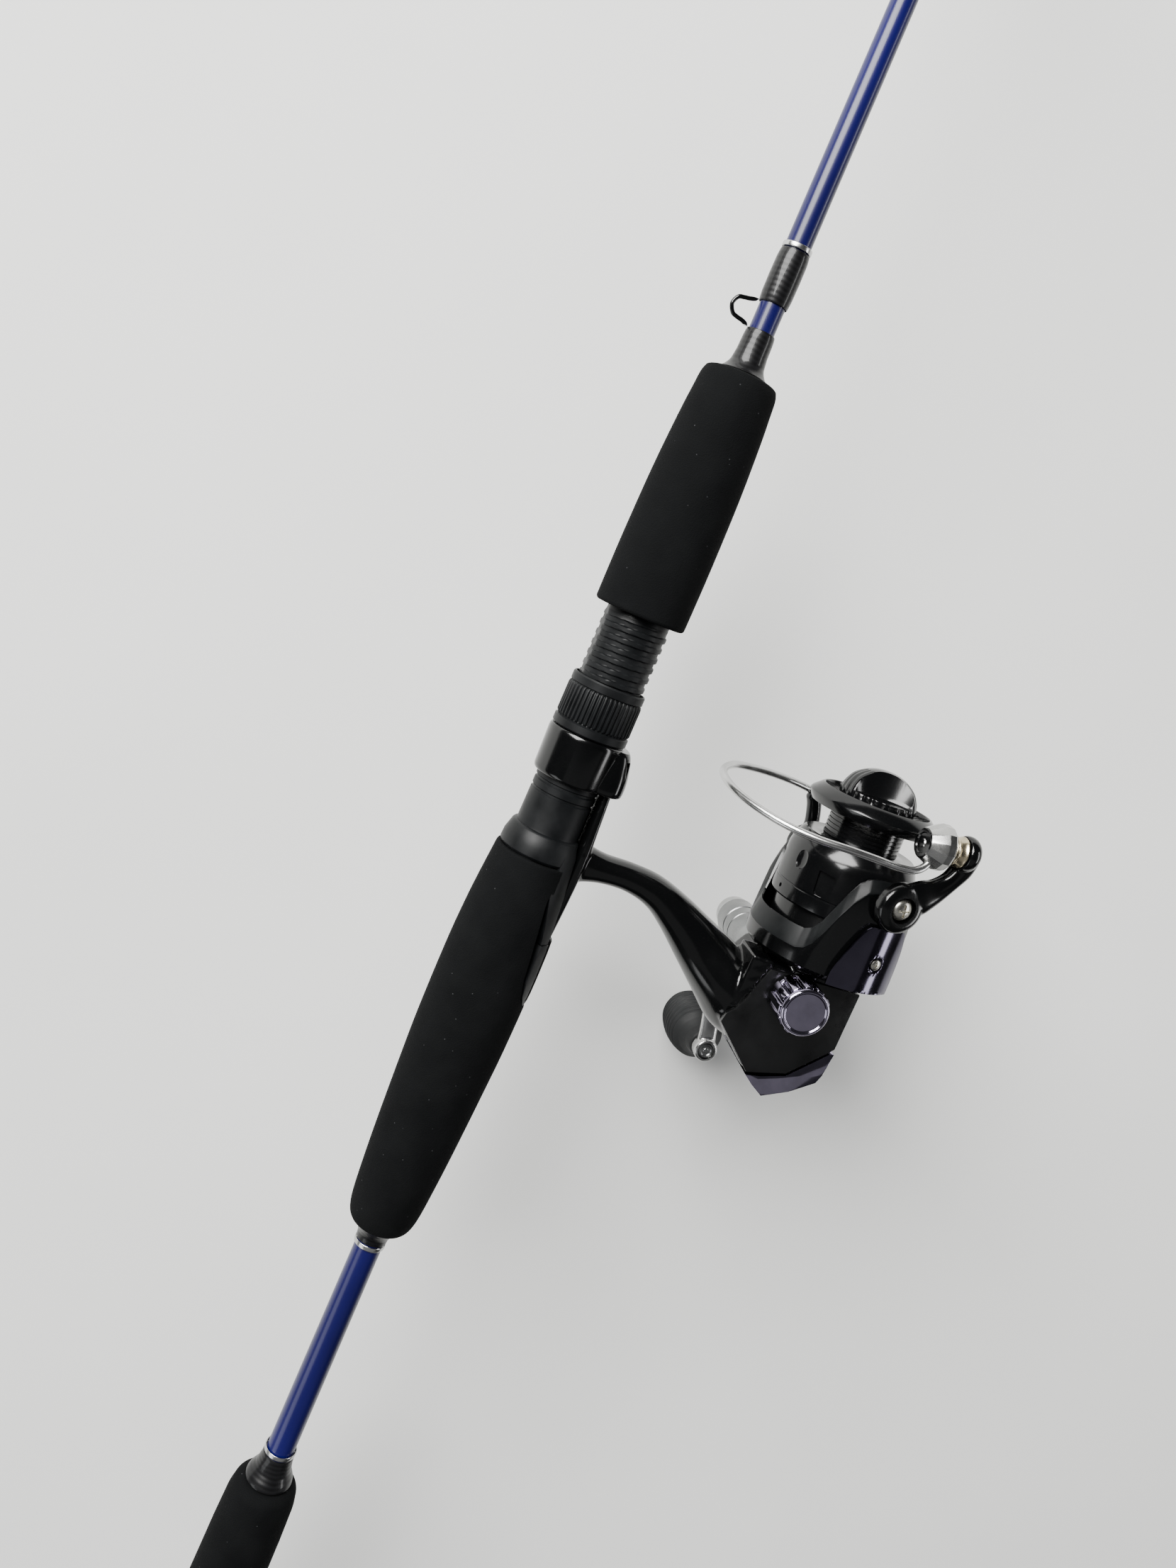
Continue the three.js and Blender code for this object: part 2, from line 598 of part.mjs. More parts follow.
function reelBody() {
  const stem = skin([
    [[301.3, -11.2], [1, 0], 5.6, 4.9], [[301.6, -14], [1, 0.02], 4.7, 4.6],
    [[301.9, -18.5], [1, 0.06], 3.9, 4.4], [[302.2, -26], [1, -0.02], 3.9, 4.6],
    [[301.0, -34], [1, -0.2], 4.5, 5.2], [[297.4, -42], [0.93, -0.45], 5.6, 6.2],
    [[291.4, -52], [0.84, -0.55], 7.4, 7.8], [[285.4, -62], [0.82, -0.57], 9.4, 9.6],
    [[281.5, -69.5], [0.84, -0.54], 11.6, 11.2], [[279.5, -75], [0.9, -0.43], 12.0, 11.8],
  ].map(([c, n, w, h]) => {
    const len = Math.hypot(...n);
    return section([c[0], c[1], 0], [(n[0] / len) * w, (n[1] / len) * w, 0], [0, 0, h], 14, 2.5);
  }));
  const foot = skin([
    [262.2, 3.0, 0.7], [263.5, 4.8, 1.1], [275, 5.6, 1.45], [292, 5.9, 1.9], [304, 5.9, 2.0],
    [314, 5.7, 1.7], [323, 5.2, 1.4], [329.5, 4.6, 1.0], [330.6, 3.4, 0.7],
  ].map(([x, w, t]) => section([x, -8.85 - t, 0], [0, t, 0], [0, 0, w], 12, 3.2)));
  const housing = slab(HOUSING, HOUSING_BOTTOM, PLATE_Z - GAP, 1.2);
  const neck = turned([
    [5.5, 0], [5.5, 14.8], [7.4, 14.8], [7.4, 14.2], [12.8, 14.2], [12.8, 0],
  ], 24);
  const boss = upright(rod(HOUSING_BOTTOM - 2.2, HOUSING_BOTTOM + 2, 7.4, 24), 0, CRANK_Y);
  const body = join(intoReel(stem), intoReel(foot), housing, neck, boss);
  const cavity = slab([
    [-22.4, 9], [-20.6, 2.5], [-11.2, -7.6], [4.4, -8.4], [4.4, 14.5], [-4, 19.2], [-12.6, 21],
  ], HOUSING_BOTTOM + 2.5, PLATE_Z + 4);
  const under = upright(rod(HOUSING_BOTTOM - 4, HOUSING_BOTTOM + 4, CASE_BORE_R, 16), 0, CRANK_Y);
  const drum = rod(6.4, 9.4, 13.2, 24);
  const gearSlot = upright(rod(GEAR_Z[0] - 0.5, GEAR_Z[1] + 0.4, GEAR_R[0] + 0.5, 24), 0, CRANK_Y);
  const bearingBore = rod(9, 14, 6.35, 18);
  const pinionBore = rod(3, 7, 3.7, 14);
  add(reelGroup, 'reel_body',
    cut(body, cavity, under, drum, gearSlot, bearingBore, pinionBore), GLOSS_BLACK());
}

function reelCovers() {
  const plate = slab([
    [-25.2, 11.6], [-22.6, 0.4], [-13.1, -9.4], [-12.0, -10.4], [5.2, -11.0], [5.2, 16.2],
    [-3, 21.4], [-12.8, 23.9],
  ], PLATE_Z, PLATE_TOP, 0.4);
  const collar = upright(turned([
    [PLATE_TOP - 1, 0], [PLATE_TOP - 1, 5.0], [PLATE_TOP + 0.9, 5.0], [PLATE_TOP + 0.9, 0],
  ], 20), 0, CRANK_Y);
  const hole = upright(rod(PLATE_Z - 2, PLATE_TOP + 4, CASE_BORE_R, 16), 0, CRANK_Y);
  add(reelGroup, 'side_plate', cut(join(plate, collar), hole), SATIN_BLACK());
  add(reelGroup, 'rear_cap', slab(REAR, HOUSING_BOTTOM, PLATE_TOP, 0.35), DARK_CHROME());

  add(reelGroup, 'handle_screw_cap', upright(screwCap(), 0, CRANK_Y), DARK_CHROME());
}

// A fluted knob with a shallow dish in its end, made along X.
function screwCap() {
  const flutes = 11;
  const outline = [];
  for (let k = 0; k < flutes; k += 1) {
    for (const [f, r] of [[0, 7.05], [0.55, 7.05], [0.68, 6.25], [0.87, 6.25]]) {
      const t = (2 * Math.PI * (k + f)) / flutes;
      outline.push([r * Math.cos(t), r * Math.sin(t)]);
    }
  }
  const knob = slab(outline, 15.2, 25.2);
  knob.rotateY(Math.PI / 2);
  const top = turned([
    [24.6, 0], [24.6, 6.3], [26.0, 6.1], [26.0, 5.5], [25.7, 5.4], [25.7, 0],
  ], 20);
  return cut(join(knob, top), rod(14, 22, CRANK_BORE_R, 16));
}

// ---------------------------------------------------------------- gear train

function gearTrain() {
  const wheel = slab(toothed(GEAR_R, GEAR_TEETH, 0, CRANK_Y), ...GEAR_Z);
  const hub = upright(rod(-9.6, -2.8, 4.4, 16), 0, CRANK_Y);
  const shaft = upright(rod(HUB_BOTTOM - 1, 21.6, CRANK_SHAFT_R, 12), 0, CRANK_Y);
  const collar = upright(rod(-14.9, -2.8, 3.0, 16), 0, CRANK_Y);
  const stepGear = slab(toothed(STEP_R, STEP_TEETH, 0, CRANK_Y), OSC_Z, OSC_Z + 2);
  add(reelGroup, 'drive_gear', join(wheel, hub, shaft, collar, stepGear), BRASS());

  const teeth = slab(toothed(PINION_R, PINION_TEETH, 0, 0), 1.6, 6.2);
  teeth.rotateY(Math.PI / 2);
  const sleeveBody = rod(6, 37.4, 2.75, 16);
  add(reelGroup, 'pinion_gear', cut(join(teeth, sleeveBody), rod(0, 60, PINION_BORE_R, 12)), BRASS());
  add(reelGroup, 'pinion_bearing', sleeve(9.8, 12.6, 3.05, 6.05, 18), STEEL());

  const osc = slab(toothed(OSC_R, OSC_TEETH, ...OSC_AXIS), OSC_Z, OSC_Z + 2);
  const pivot = upright(rod(OSC_Z + 1, 10.2, 1.6, 12), ...OSC_AXIS);
  const peg = upright(rod(4.6, OSC_Z + 1, 1.0, 12), OSC_AXIS[0] - OSC_THROW, OSC_AXIS[1]);
  add(reelGroup, 'oscillation_gear', join(osc, pivot, peg), BRASS());

  const block = join(box(-15.4, -11, -1.8, 4.2, -2.4, 4.2), rod(-15.0, -12, 2.3, 16));
  add(reelGroup, 'oscillation_slider', cut(block, rod(-20, -5, 1.7, 12)), STEEL());
  add(reelGroup, 'main_shaft', rod(-15, 57.2, SHAFT_R, 12), CHROME());
}

// ---------------------------------------------------------------- rotor and bail

const ARM_DEG = 104;
const N = [-Math.sin(ARM_TILT), Math.cos(ARM_TILT)];
const T = [-Math.cos(ARM_TILT), -Math.sin(ARM_TILT)];

// A point given along X, across the arm and out from the spool axis.
function onArm(x, t, n) {
  return [x, t * T[0] + n * N[0], t * T[1] + n * N[1]];
}

function armPlate(centre) {
  const stations = [[10, 42], [16, 42], [20.4, 45], [23, 42.5], [27.6, 38], [32.2, 33], [36.4, 27],
    [38.6, 20], [39.6, 11]];
  const edges = stations.map(([x, half]) => [x, centre - half, centre + half]);
  return wrapped(edges, ARM_IN_R, ARM_OUT_R, 6);
}

function pivotPin(side, from, to, r, segments = 16) {
  return aim(rod(from, to, r, segments), [PIVOT_X, 0, 0], [0, side * N[0], side * N[1]]);
}

function rotorPieces() {
  const cup = turned([
    [8.0, 14.9], [8.0, 19.2], [9.6, CUP_R], [13.4, CUP_R], [RIM_X, 19.8], [RIM_X, ARM_IN_R],
    [13.2, ARM_IN_R], [12, 17.9], [12, SPOOL_SLEEVE_R], [32, SPOOL_SLEEVE_R], [33, 15.6],
    [33, 3.1], [31, 3.1], [31, 14.9],
  ], 24);
  const holes = [1, -1].map((s) => pivotPin(s, 17.5, 30, 1.5, 12));
  const body = cut(join(cup, armPlate(ARM_DEG), armPlate(ARM_DEG + 180)), ...holes);
  add(reelGroup, 'rotor', body, GLOSS_BLACK());
  const nut = cut(rod(33.3, 36.3, 5.2, 6), rod(33, 37, 3.05, 12));
  add(reelGroup, 'rotor_nut', nut, BRASS());

  const cover = (centre) => wrapped([
    [8.4, centre - 25, centre + 30], [12, centre - 25, centre + 30],
    [20, centre - 19, centre + 28], [25.5, centre - 13, centre + 24],
    [27.2, centre - 9, centre + 20],
  ], ARM_OUT_R + GAP, COVER_TOP_R, 6);
  const recess = aim(rod(21, 26, 1.9, 14), onArm(...COVER_SCREW, 0), [0, ...N]);
  add(reelGroup, 'rotor_arm_cover', cut(cover(ARM_DEG), recess), DARK_CHROME());
  const head = aim(turned([
    [22.35, 0], [22.35, 1.5], [22.8, 1.5], [COVER_TOP_R, 1.0], [COVER_TOP_R, 0],
  ], 16), onArm(...COVER_SCREW, 0), [0, ...N]);
  add(reelGroup, 'arm_cover_screw', cut(head, crossSlot(...COVER_SCREW, 22.75)), STEEL());
  add(reelGroup, 'far_arm_cover', cover(ARM_DEG + 180), DARK_CHROME());
}

function crossSlot(x, t, n) {
  const bars = [0, Math.PI / 2].map((turn) => {
    const bar = box(0, 2, -0.85, 0.85, -0.2, 0.2);
    bar.rotateX(turn + 0.4);
    return aim(bar, onArm(x, t, n), [0, ...N]);
  });
  return join(...bars);
}

const ROLLER_TIP = [53.3, -19.1, 22.6];
const ROLLER_DIR = new THREE.Vector3(-0.04, 0.9959, 0.081).normalize().toArray();

function alongRoller(geo) {
  return aim(geo, ROLLER_TIP, ROLLER_DIR);
}

function bailArm() {
  const out = [0, ...N];
  const across = [0, ...T];
  const ahead = [1, 0, 0];
  const mix = (u, v, a, b) => u.map((_, i) => u[i] * a + v[i] * b);
  const rings = [
    [onArm(36.5, 1.8, 24.9), mix(ahead, across, 0.55, -1), 5.9, 1.9],
    [onArm(38.8, 5.4, 25.0), mix(ahead, across, 0.8, -0.6), 4.9, 1.9],
    [onArm(41.2, 8.7, 25.0), mix(ahead, across, 0.75, -0.7), 3.7, 2.0],
    [onArm(44.6, 11.5, 25.3), mix(ahead, across, 0.58, -0.81), 2.8, 2.2],
    [onArm(48.4, 13.4, 25.6), mix(ahead, across, 0.3, -0.95), 3.0, 2.6],
    [onArm(52.2, 13.6, 26.1), mix(ahead, across, 0, -1), 2.9, 2.9],
  ].map(([c, dir, w, h]) => {
    const len = Math.hypot(...dir);
    return section(c, dir.map((d) => (d / len) * w), out.map((d) => d * h), 10, 2.5);
  });
  const lever = skin(rings);
  const boss = aim(turned([
    [22.9, 0], [22.9, 6.4], [23.4, 7.0], [25.6, 7.0], [26.6, 6.2], [26.9, 5.2], [26.9, 0],
  ], 20), [PIVOT_X, 0, 0], out);
  const knuckle = alongRoller(turned([
    [-2.0, 0], [-1.9, 2.8], [-1.1, 4.0], [0, 4.6], [1.6, 4.7], [2.2, 4.3], [2.2, 0],
  ], 14));
  const arm = cut(
    join(lever, boss, knuckle),
    pivotPin(1, 20, 25.0, 1.75, 12), pivotPin(1, 24.8, 29, 3.6, 16),
    alongRoller(rod(0.2, 5, 1.5, 12)), alongRoller(rod(2.3, 20, 4.7, 16)));
  add(reelGroup, 'bail_arm', arm, GLOSS_BLACK());
  const screw = aim(join(
    rod(19.4, 25.6, 1.2, 12),
    turned([[25.3, 0], [25.3, 3.1], [26.1, 3.1], [26.9, 2.3], [27.3, 0]], 20)),
  [PIVOT_X, 0, 0], out);
  add(reelGroup, 'bail_arm_screw', cut(screw, crossSlot(PIVOT_X, 0, 26.5)), STEEL());
}

function bailFar() {
  const out = [0, -N[0], -N[1]];
  const boss = aim(turned([
    [22.9, 0], [22.9, 5.4], [25.0, 5.4], [25.8, 4.6], [25.8, 0],
  ], 18), [PIVOT_X, 0, 0], out);
  const lever = wire([
    onArm(36, 0, -24.3), onArm(41, 0.2, -24.2), onArm(46, -1.6, -23.8), onArm(49.2, -3.6, -23.4),
  ], 2.1, 6, 10);
  const socket = wire([[50.5, 12.6, -21.9], [49.6, 9.2, -23.4], [48.4, 6.2, -24.4]], 1.25, 4, 8);
  const stud = aim(rod(19.6, 24, 1.2, 12), [PIVOT_X, 0, 0], out);
  add(reelGroup, 'bail_lever_far', cut(join(boss, lever, stud), socket), GLOSS_BLACK());
}

function bailWire() {
  const path = [
    [49.6, -8.0, 24.8], [47.3, -6.9, 26.0], [45.5, -3.6, 27.1], [45.3, 2.0, 28.0],
    [45.7, 7.5, 28.8], [46.0, 15.5, 29.2], [45.8, 24.7, 27.3], [46.3, 33.6, 22.4], [47.8, 41.4, 14.5],
    [49.4, 44.8, 7.0], [51.0, 44.9, 0.5], [52.2, 40.6, -6.3], [52.3, 34.0, -11.2],
    [51.9, 25.5, -16.0], [51.1, 17.5, -20.0], [50.2, 11.4, -22.4], [49.7, 9.6, -23.2],
  ];
  add(reelGroup, 'bail_wire', wire(path, WIRE_R, 40, 8), CHROME());
  const cone = alongRoller(turned([
    [6.2, 0], [6.2, 4.3], [7.9, 6.2], [9.9, 6.2], [13.7, 4.3], [14.4, 3.7], [14.4, 0],
  ], 12));
  const pocket = wire([[45.9, -6.0, 26.8], [47.3, -6.9, 26.0], [50.4, -8.5, 24.4]], WIRE_R + GAP, 4, 10);
  const pin = alongRoller(rod(0.6, 7, 1.2, 12));
  add(reelGroup, 'bail_cone', cut(join(cone, pin), pocket), CHROME());
  const roller = alongRoller(turned([
    [2.6, 1.6], [2.6, 4.2], [3.1, 4.2], [3.7, 3.7], [4.8, 3.7], [5.4, 4.1], [5.8, 4.1],
    [5.8, 1.6],
  ], 18));
  add(reelGroup, 'line_roller', roller, BRASS());
}

// ---------------------------------------------------------------- spool and drag

function spoolPieces() {
  const arbor = [];
  for (let k = 0; k < 4; k += 1) {
    const x = 43.4 + k * 1.75;
    arbor.push([x, ARBOR_R - 0.35], [x + 0.3, ARBOR_R], [x + 1.4, ARBOR_R]);
  }
  const body = turned([
    [23.4, 17.3], [23.4, 18.1], [24.2, SKIRT_R], [37.6, 18.2], [40.4, 17.4],
    [43.0, 15.9], [43.2, 15.4], [42.9, 12], ...arbor, [50.4, 12], [51.0, 17.2],
    [53.3, LIP_R], [56.0, 15.9], [56.3, 15.4], [55.6, 14.9], [54.0, 14.8], [54.0, 11.0],
    [52.6, 11.0], [52.6, 1.75], [46.5, 1.75], [46.5, 4.4], [50.9, 4.4], [50.9, 9.2],
    [42.2, 9.2], [40.4, 12.5], [39.4, 15.5], [37.2, 17.0],
  ], 24);
  add(reelGroup, 'spool', body, GLOSS_BLACK());

  const dome = turned([
    [54.3, 0], [54.3, 10.5], [56.4, 10.8], [58.6, 10.4], [61.5, 9.0], [63.8, 6.6], [65, 3.4],
    [65.3, 0],
  ], 20);
  const scoops = [1, -1].map((s) => {
    const scoop = rod(57.6, 70, SCOOP_R, 24);
    const away = s * (SCOOP_R + GRIP_WAIST);
    scoop.translate(0, -away * Math.sin(GRIP_TURN), away * Math.cos(GRIP_TURN));
    return scoop;
  });
  add(reelGroup, 'drag_knob', cut(dome, ...scoops, rod(52, 57.6, 1.75, 12)), GLOSS_BLACK());
}

// ---------------------------------------------------------------- crank handle

function handlePieces() {
  const hub = upright(cut(turned([
    [HUB_BOTTOM, 0], [HUB_BOTTOM, 5.4], [-45.6, HUB_R], [-38.4, HUB_R], [-38.0, 5.9],
    [-37.4, 5.9], [-37.0, HUB_R], [-24.4, HUB_R], [-21.4, 5.2], [-18.6, 5.2], [-17.2, 6.6],
    [HUB_TOP, 6.6], [HUB_TOP, 0],
  ], 20), rod(HUB_BOTTOM - 2, HUB_TOP + 2, CRANK_BORE_R, 16)), 0, CRANK_Y);
  add(reelGroup, 'handle_hub', hub, STEEL());

  const [ex, ey] = HANDLE_END;
  const dy = ey - CRANK_Y;
  const len = Math.hypot(ex, dy);
  const dir = [ex / len, dy / len];
  const side = [-dir[1], dir[0]];
  const stations = [[3, 4.6, 1.9, -48.9], [9, 4.0, 1.9, -49], [20, 3.3, 1.8, -49.2],
    [32, 3.0, 1.8, -48.6], [len - 6, 3.1, 1.8, -47.6], [len - 1, 3.5, 1.8, -47.2]];
  const bar = skin(stations.map(([d, w, h, z]) => section(
    [dir[0] * d, CRANK_Y + dir[1] * d, z], [side[0] * w, side[1] * w, 0], [0, 0, h], 10, 3)));
  const rootBoss = upright(turned([
    [-51.2, 0], [-51.2, 4.9], [-50.4, 5.6], [HUB_BOTTOM - GAP, 5.6], [HUB_BOTTOM - GAP, 0],
  ], 18), 0, CRANK_Y);
  const eye = upright(turned([
    [-49.4, 0], [-49.4, 4.0], [EYE_TOP - 0.6, 4.0], [EYE_TOP, 3.5], [EYE_TOP, 0],
  ], 16), ex, ey);
  const arm = cut(join(bar, rootBoss, eye),
    upright(rod(-60, -40, 2.0, 12), ex, ey), upright(rod(-46.8, -44, 3.0, 14), ex, ey),
    upright(rod(-48, -40, CRANK_BORE_R, 12), 0, CRANK_Y));
  add(reelGroup, 'handle_arm', arm, CHROME());

  const head = turned([[-46.4, 0], [-46.4, 2.6], [-45.2, 2.6], [-44.9, 1.8], [-44.9, 0]], 16);
  const axle = join(rod(-78, -45.6, AXLE_R, 12), head);
  add(reelGroup, 'knob_axle', upright(axle, ex, ey), STEEL());
  const profile = [[KNOB_TOP, 2.1], [KNOB_TOP, 4.2], [-51.2, 4.8], [-53, 5.0], [-56, 6.6]];
  const ribs = [[-59, 8.2], [-63, 9.4], [-67, 9.7], [-71, 9.2]];
  for (const [z, r] of ribs) profile.push([z + 0.45, r], [z, r - 0.5], [z - 0.45, r]);
  profile.push([-74.5, 8.3], [-78, 6.4], [-80.6, 3.8], [KNOB_BOTTOM, 0], [-79, 0], [-79, 2.1]);
  const knob = turned(profile, 16);
  add(reelGroup, 'handle_knob', upright(knob, ex, ey), RUBBER());
}

buttPieces();
blankPieces();
rearGripPieces();
seatPieces();
lockNut();
foregripPieces();
for (const g of GUIDES) guide(g);
tipTop();
reelBody();
reelCovers();
gearTrain();
rotorPieces();
bailArm();
bailFar();
bailWire();
spoolPieces();
handlePieces();

export default root;
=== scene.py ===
"""Looks of a light spinning rod and its fixed-spool reel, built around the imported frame.

Shapes are given in millimetres in two local frames: the rod's (x along the blank from the butt
cap, the reel towards -y, the crank towards -z) and the reel's (x along the spool axis from the
crank's station, y towards the rod, z away from the crank). The reel frame comes from the joints.
"""
import json
import math

import bmesh
import bpy
import numpy as np
from mathutils import Matrix, Vector


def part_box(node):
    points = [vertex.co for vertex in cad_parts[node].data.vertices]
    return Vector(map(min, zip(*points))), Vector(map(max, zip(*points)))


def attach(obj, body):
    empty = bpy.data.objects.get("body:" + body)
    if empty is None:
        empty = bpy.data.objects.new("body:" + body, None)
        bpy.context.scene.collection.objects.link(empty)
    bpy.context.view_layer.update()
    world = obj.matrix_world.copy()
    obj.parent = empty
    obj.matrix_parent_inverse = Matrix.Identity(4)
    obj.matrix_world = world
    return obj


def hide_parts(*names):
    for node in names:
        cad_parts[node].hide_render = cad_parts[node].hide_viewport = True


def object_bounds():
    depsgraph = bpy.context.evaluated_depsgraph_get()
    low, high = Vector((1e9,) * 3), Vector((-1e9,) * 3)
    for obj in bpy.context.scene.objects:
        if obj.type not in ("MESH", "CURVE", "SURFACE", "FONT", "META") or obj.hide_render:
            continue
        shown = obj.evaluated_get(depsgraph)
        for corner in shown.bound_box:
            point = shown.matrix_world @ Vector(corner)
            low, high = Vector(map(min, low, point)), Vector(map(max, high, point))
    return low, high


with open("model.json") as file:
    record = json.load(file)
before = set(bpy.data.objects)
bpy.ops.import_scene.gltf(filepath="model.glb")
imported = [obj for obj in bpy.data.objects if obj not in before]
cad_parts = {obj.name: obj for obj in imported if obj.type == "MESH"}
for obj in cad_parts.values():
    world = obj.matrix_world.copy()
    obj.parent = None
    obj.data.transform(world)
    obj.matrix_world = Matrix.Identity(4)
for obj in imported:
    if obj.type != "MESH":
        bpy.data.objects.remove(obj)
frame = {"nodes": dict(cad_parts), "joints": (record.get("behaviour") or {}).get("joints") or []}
CAD_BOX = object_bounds()
JOINTS = {j["name"]: j for j in frame["joints"]}
MM = 0.001

# ------------------------------------------------------------------ local frames

ROD = Matrix.Scale(MM, 4)
SPOOL_AXIS = Vector(JOINTS["rotor_spin"]["axis"]).normalized()
ROTOR_STATION = 20.0
BAIL_AXIS = -Vector(JOINTS["bail_flip"]["axis"]).normalized()


def reel_frame():
    origin = Vector(JOINTS["rotor_spin"]["pos_m"]) - SPOOL_AXIS * ROTOR_STATION * MM
    up = Vector((0, 0, 1))
    side = up.cross(SPOOL_AXIS)
    turn = Matrix((SPOOL_AXIS, side, up)).transposed().to_4x4()
    return Matrix.Translation(origin) @ turn @ Matrix.Scale(MM, 4)


REEL = reel_frame()
TO_REEL = REEL.inverted()
CRANK_Y = (TO_REEL @ Vector(JOINTS["handle_crank"]["pos_m"])).y
KNOB_XY = (TO_REEL @ Vector(JOINTS["crank_knob_spin"]["pos_m"])).xy
PIVOT_X = (TO_REEL @ Vector(JOINTS["bail_flip"]["pos_m"])).x
ROLLER_AT = TO_REEL @ Vector(JOINTS["line_roller_spin"]["pos_m"])
ROLLER_DIR = (TO_REEL.to_3x3() @ Vector(JOINTS["line_roller_spin"]["axis"])).normalized()
ARM_OUT = (TO_REEL.to_3x3() @ BAIL_AXIS).normalized()
ARM_SIDE = Vector((0, -ARM_OUT.z, ARM_OUT.y))
ARM_DEG = math.degrees(math.atan2(ARM_OUT.z, ARM_OUT.y))


def axis_frame(at, direction):
    """Turns a body made along x to lie along direction, with its x = 0 at the point given."""
    turn = Vector((1, 0, 0)).rotation_difference(Vector(direction)).to_matrix().to_4x4()
    return Matrix.Translation(Vector(at)) @ turn


def upright(x=0.0, y=0.0):
    return axis_frame((x, y, 0), (0, 0, 1))


def on_arm(x, across, out):
    return Vector((x, 0, 0)) + ARM_SIDE * across + ARM_OUT * out


# ------------------------------------------------------------------ mesh helpers


def polar(x, r, degrees):
    t = math.radians(degrees)
    return (x, r * math.cos(t), r * math.sin(t))


def rounded(profile, radius=0.4, steps=4):
    """Rounds the corners of an [x, radius] profile with short arcs."""
    bored = profile[0][1] > 0 and profile[-1][1] > 0
    count = len(profile)
    out = []
    for i, point in enumerate(profile):
        here = np.array(point, float)
        if not bored and i in (0, count - 1):
            out.append(tuple(here))
            continue
        back = np.array(profile[i - 1], float) - here
        on = np.array(profile[(i + 1) % count], float) - here
        back_len, on_len = np.linalg.norm(back), np.linalg.norm(on)
        straight = float(back @ on) / (back_len * on_len) < -0.995
        if straight:
            out.append(tuple(here))
            continue
        start = here + back / back_len * min(radius, 0.45 * back_len)
        end = here + on / on_len * min(radius, 0.45 * on_len)
        for k in range(steps + 1):
            t = k / steps
            out.append(tuple((1 - t) ** 2 * start + 2 * t * (1 - t) * here + t * t * end))
    return out


def revolve(profile, segs=72, shape=None):
    """A body about x from [x, radius] points. shape(x, r, angle) may change the radius."""
    rows, verts = [], []
    for x, r in profile:
        if r < 1e-6:
            rows.append([len(verts)])
            verts.append((x, 0.0, 0.0))
            continue
        row = []
        for k in range(segs):
            t = 2 * math.pi * k / segs
            rr = shape(x, r, t) if shape else r
            row.append(len(verts))
            verts.append((x, rr * math.cos(t), rr * math.sin(t)))
        rows.append(row)
    ring = rows[1:] + ([rows[0]] if len(rows[0]) > 1 and len(rows[-1]) > 1 else [])
    faces = []
    for a, b in zip(rows, ring):
        for k in range(segs):
            n = (k + 1) % segs
            if len(a) == 1 and len(b) == 1:
                continue
            if len(a) == 1:
                faces.append((a[0], b[n], b[k]))
            elif len(b) == 1:
                faces.append((a[k], a[n], b[0]))
            else:
                faces.append((a[k], a[n], b[n], b[k]))
    return verts, faces


def bar(start, end, radius, segs):
    """A plain round bar about x, for bores and pins inside other shapes."""
    return revolve([(start, 0), (start, radius), (end, radius), (end, 0)], segs)


def skin(rings):
    """Joins a row of equal rings and closes both ends."""
    n = len(rings[0])
    verts = [tuple(p) for ring in rings for p in ring]
    faces = []
    for i in range(len(rings) - 1):
        for k in range(n):
            a, b = i * n + k, i * n + (k + 1) % n
            faces.append((a, b, b + n, a + n))
    faces.append(tuple(range(n))[::-1])
    faces.append(tuple(range((len(rings) - 1) * n, len(rings) * n)))
    return verts, faces


def catmull(points, per_span):
    """A smooth run through the points, which may be rows of any width."""
    p = np.array(points, float)
    out = []
    for i in range(len(p) - 1):
        a, b, c, d = p[max(i - 1, 0)], p[i], p[i + 1], p[min(i + 2, len(p) - 1)]
        for k in range(per_span):
            t = k / per_span
            out.append(0.5 * (2 * b + (c - a) * t + (2 * a - 5 * b + 4 * c - d) * t * t
                              + (3 * b - a - 3 * c + d) * t ** 3))
    out.append(p[-1])
    return np.array(out)


def tube(points, radius, sides=20, per_span=8):
    """A round wire along a smooth run of points, its ends closed with a small dome."""
    path = catmull(points, per_span)
    tangent = np.gradient(path, axis=0)
    tangent /= np.linalg.norm(tangent, axis=1)[:, None]
    normal = np.cross(tangent[0], (0.31, 0.52, 0.79))
    normal /= np.linalg.norm(normal)
    rings = []
    for i, (at, along) in enumerate(zip(path, tangent)):
        normal = normal - along * float(normal @ along)
        normal /= np.linalg.norm(normal)
        other = np.cross(along, normal)
        angles = np.arange(sides) * 2 * math.pi / sides
        ring = at + radius * (np.outer(np.cos(angles), normal) + np.outer(np.sin(angles), other))
        if i == 0:
            rings.append(at - along * radius * 0.5 + (ring - at) * 0.6)
        rings.append(ring)
        if i == len(path) - 1:
            rings.append(at + along * radius * 0.5 + (ring - at) * 0.6)
    return skin(rings)


def section(centre, half1, half2, count=40, square=2.6):
    """A rounded section: centre, two half axes and a squareness exponent."""
    out = []
    for k in range(count):
        t = 2 * math.pi * (k + 0.5) / count
        c, s = math.cos(t), math.sin(t)
        u = math.copysign(abs(c) ** (2 / square), c)
        w = math.copysign(abs(s) ** (2 / square), s)
        out.append(np.array(centre) + u * np.array(half1) + w * np.array(half2))
    return out


def smooth_skin(rings, per_span=6):
    return skin(catmull(np.array(rings), per_span))


def prism(outline, z0, z1):
    n = len(outline)
    verts = [(x, y, z) for z in (z0, z1) for x, y in outline]
    faces = [(k, (k + 1) % n, (k + 1) % n + n, k + n) for k in range(n)]
    return verts, faces + [tuple(range(n))[::-1], tuple(range(n, 2 * n))]


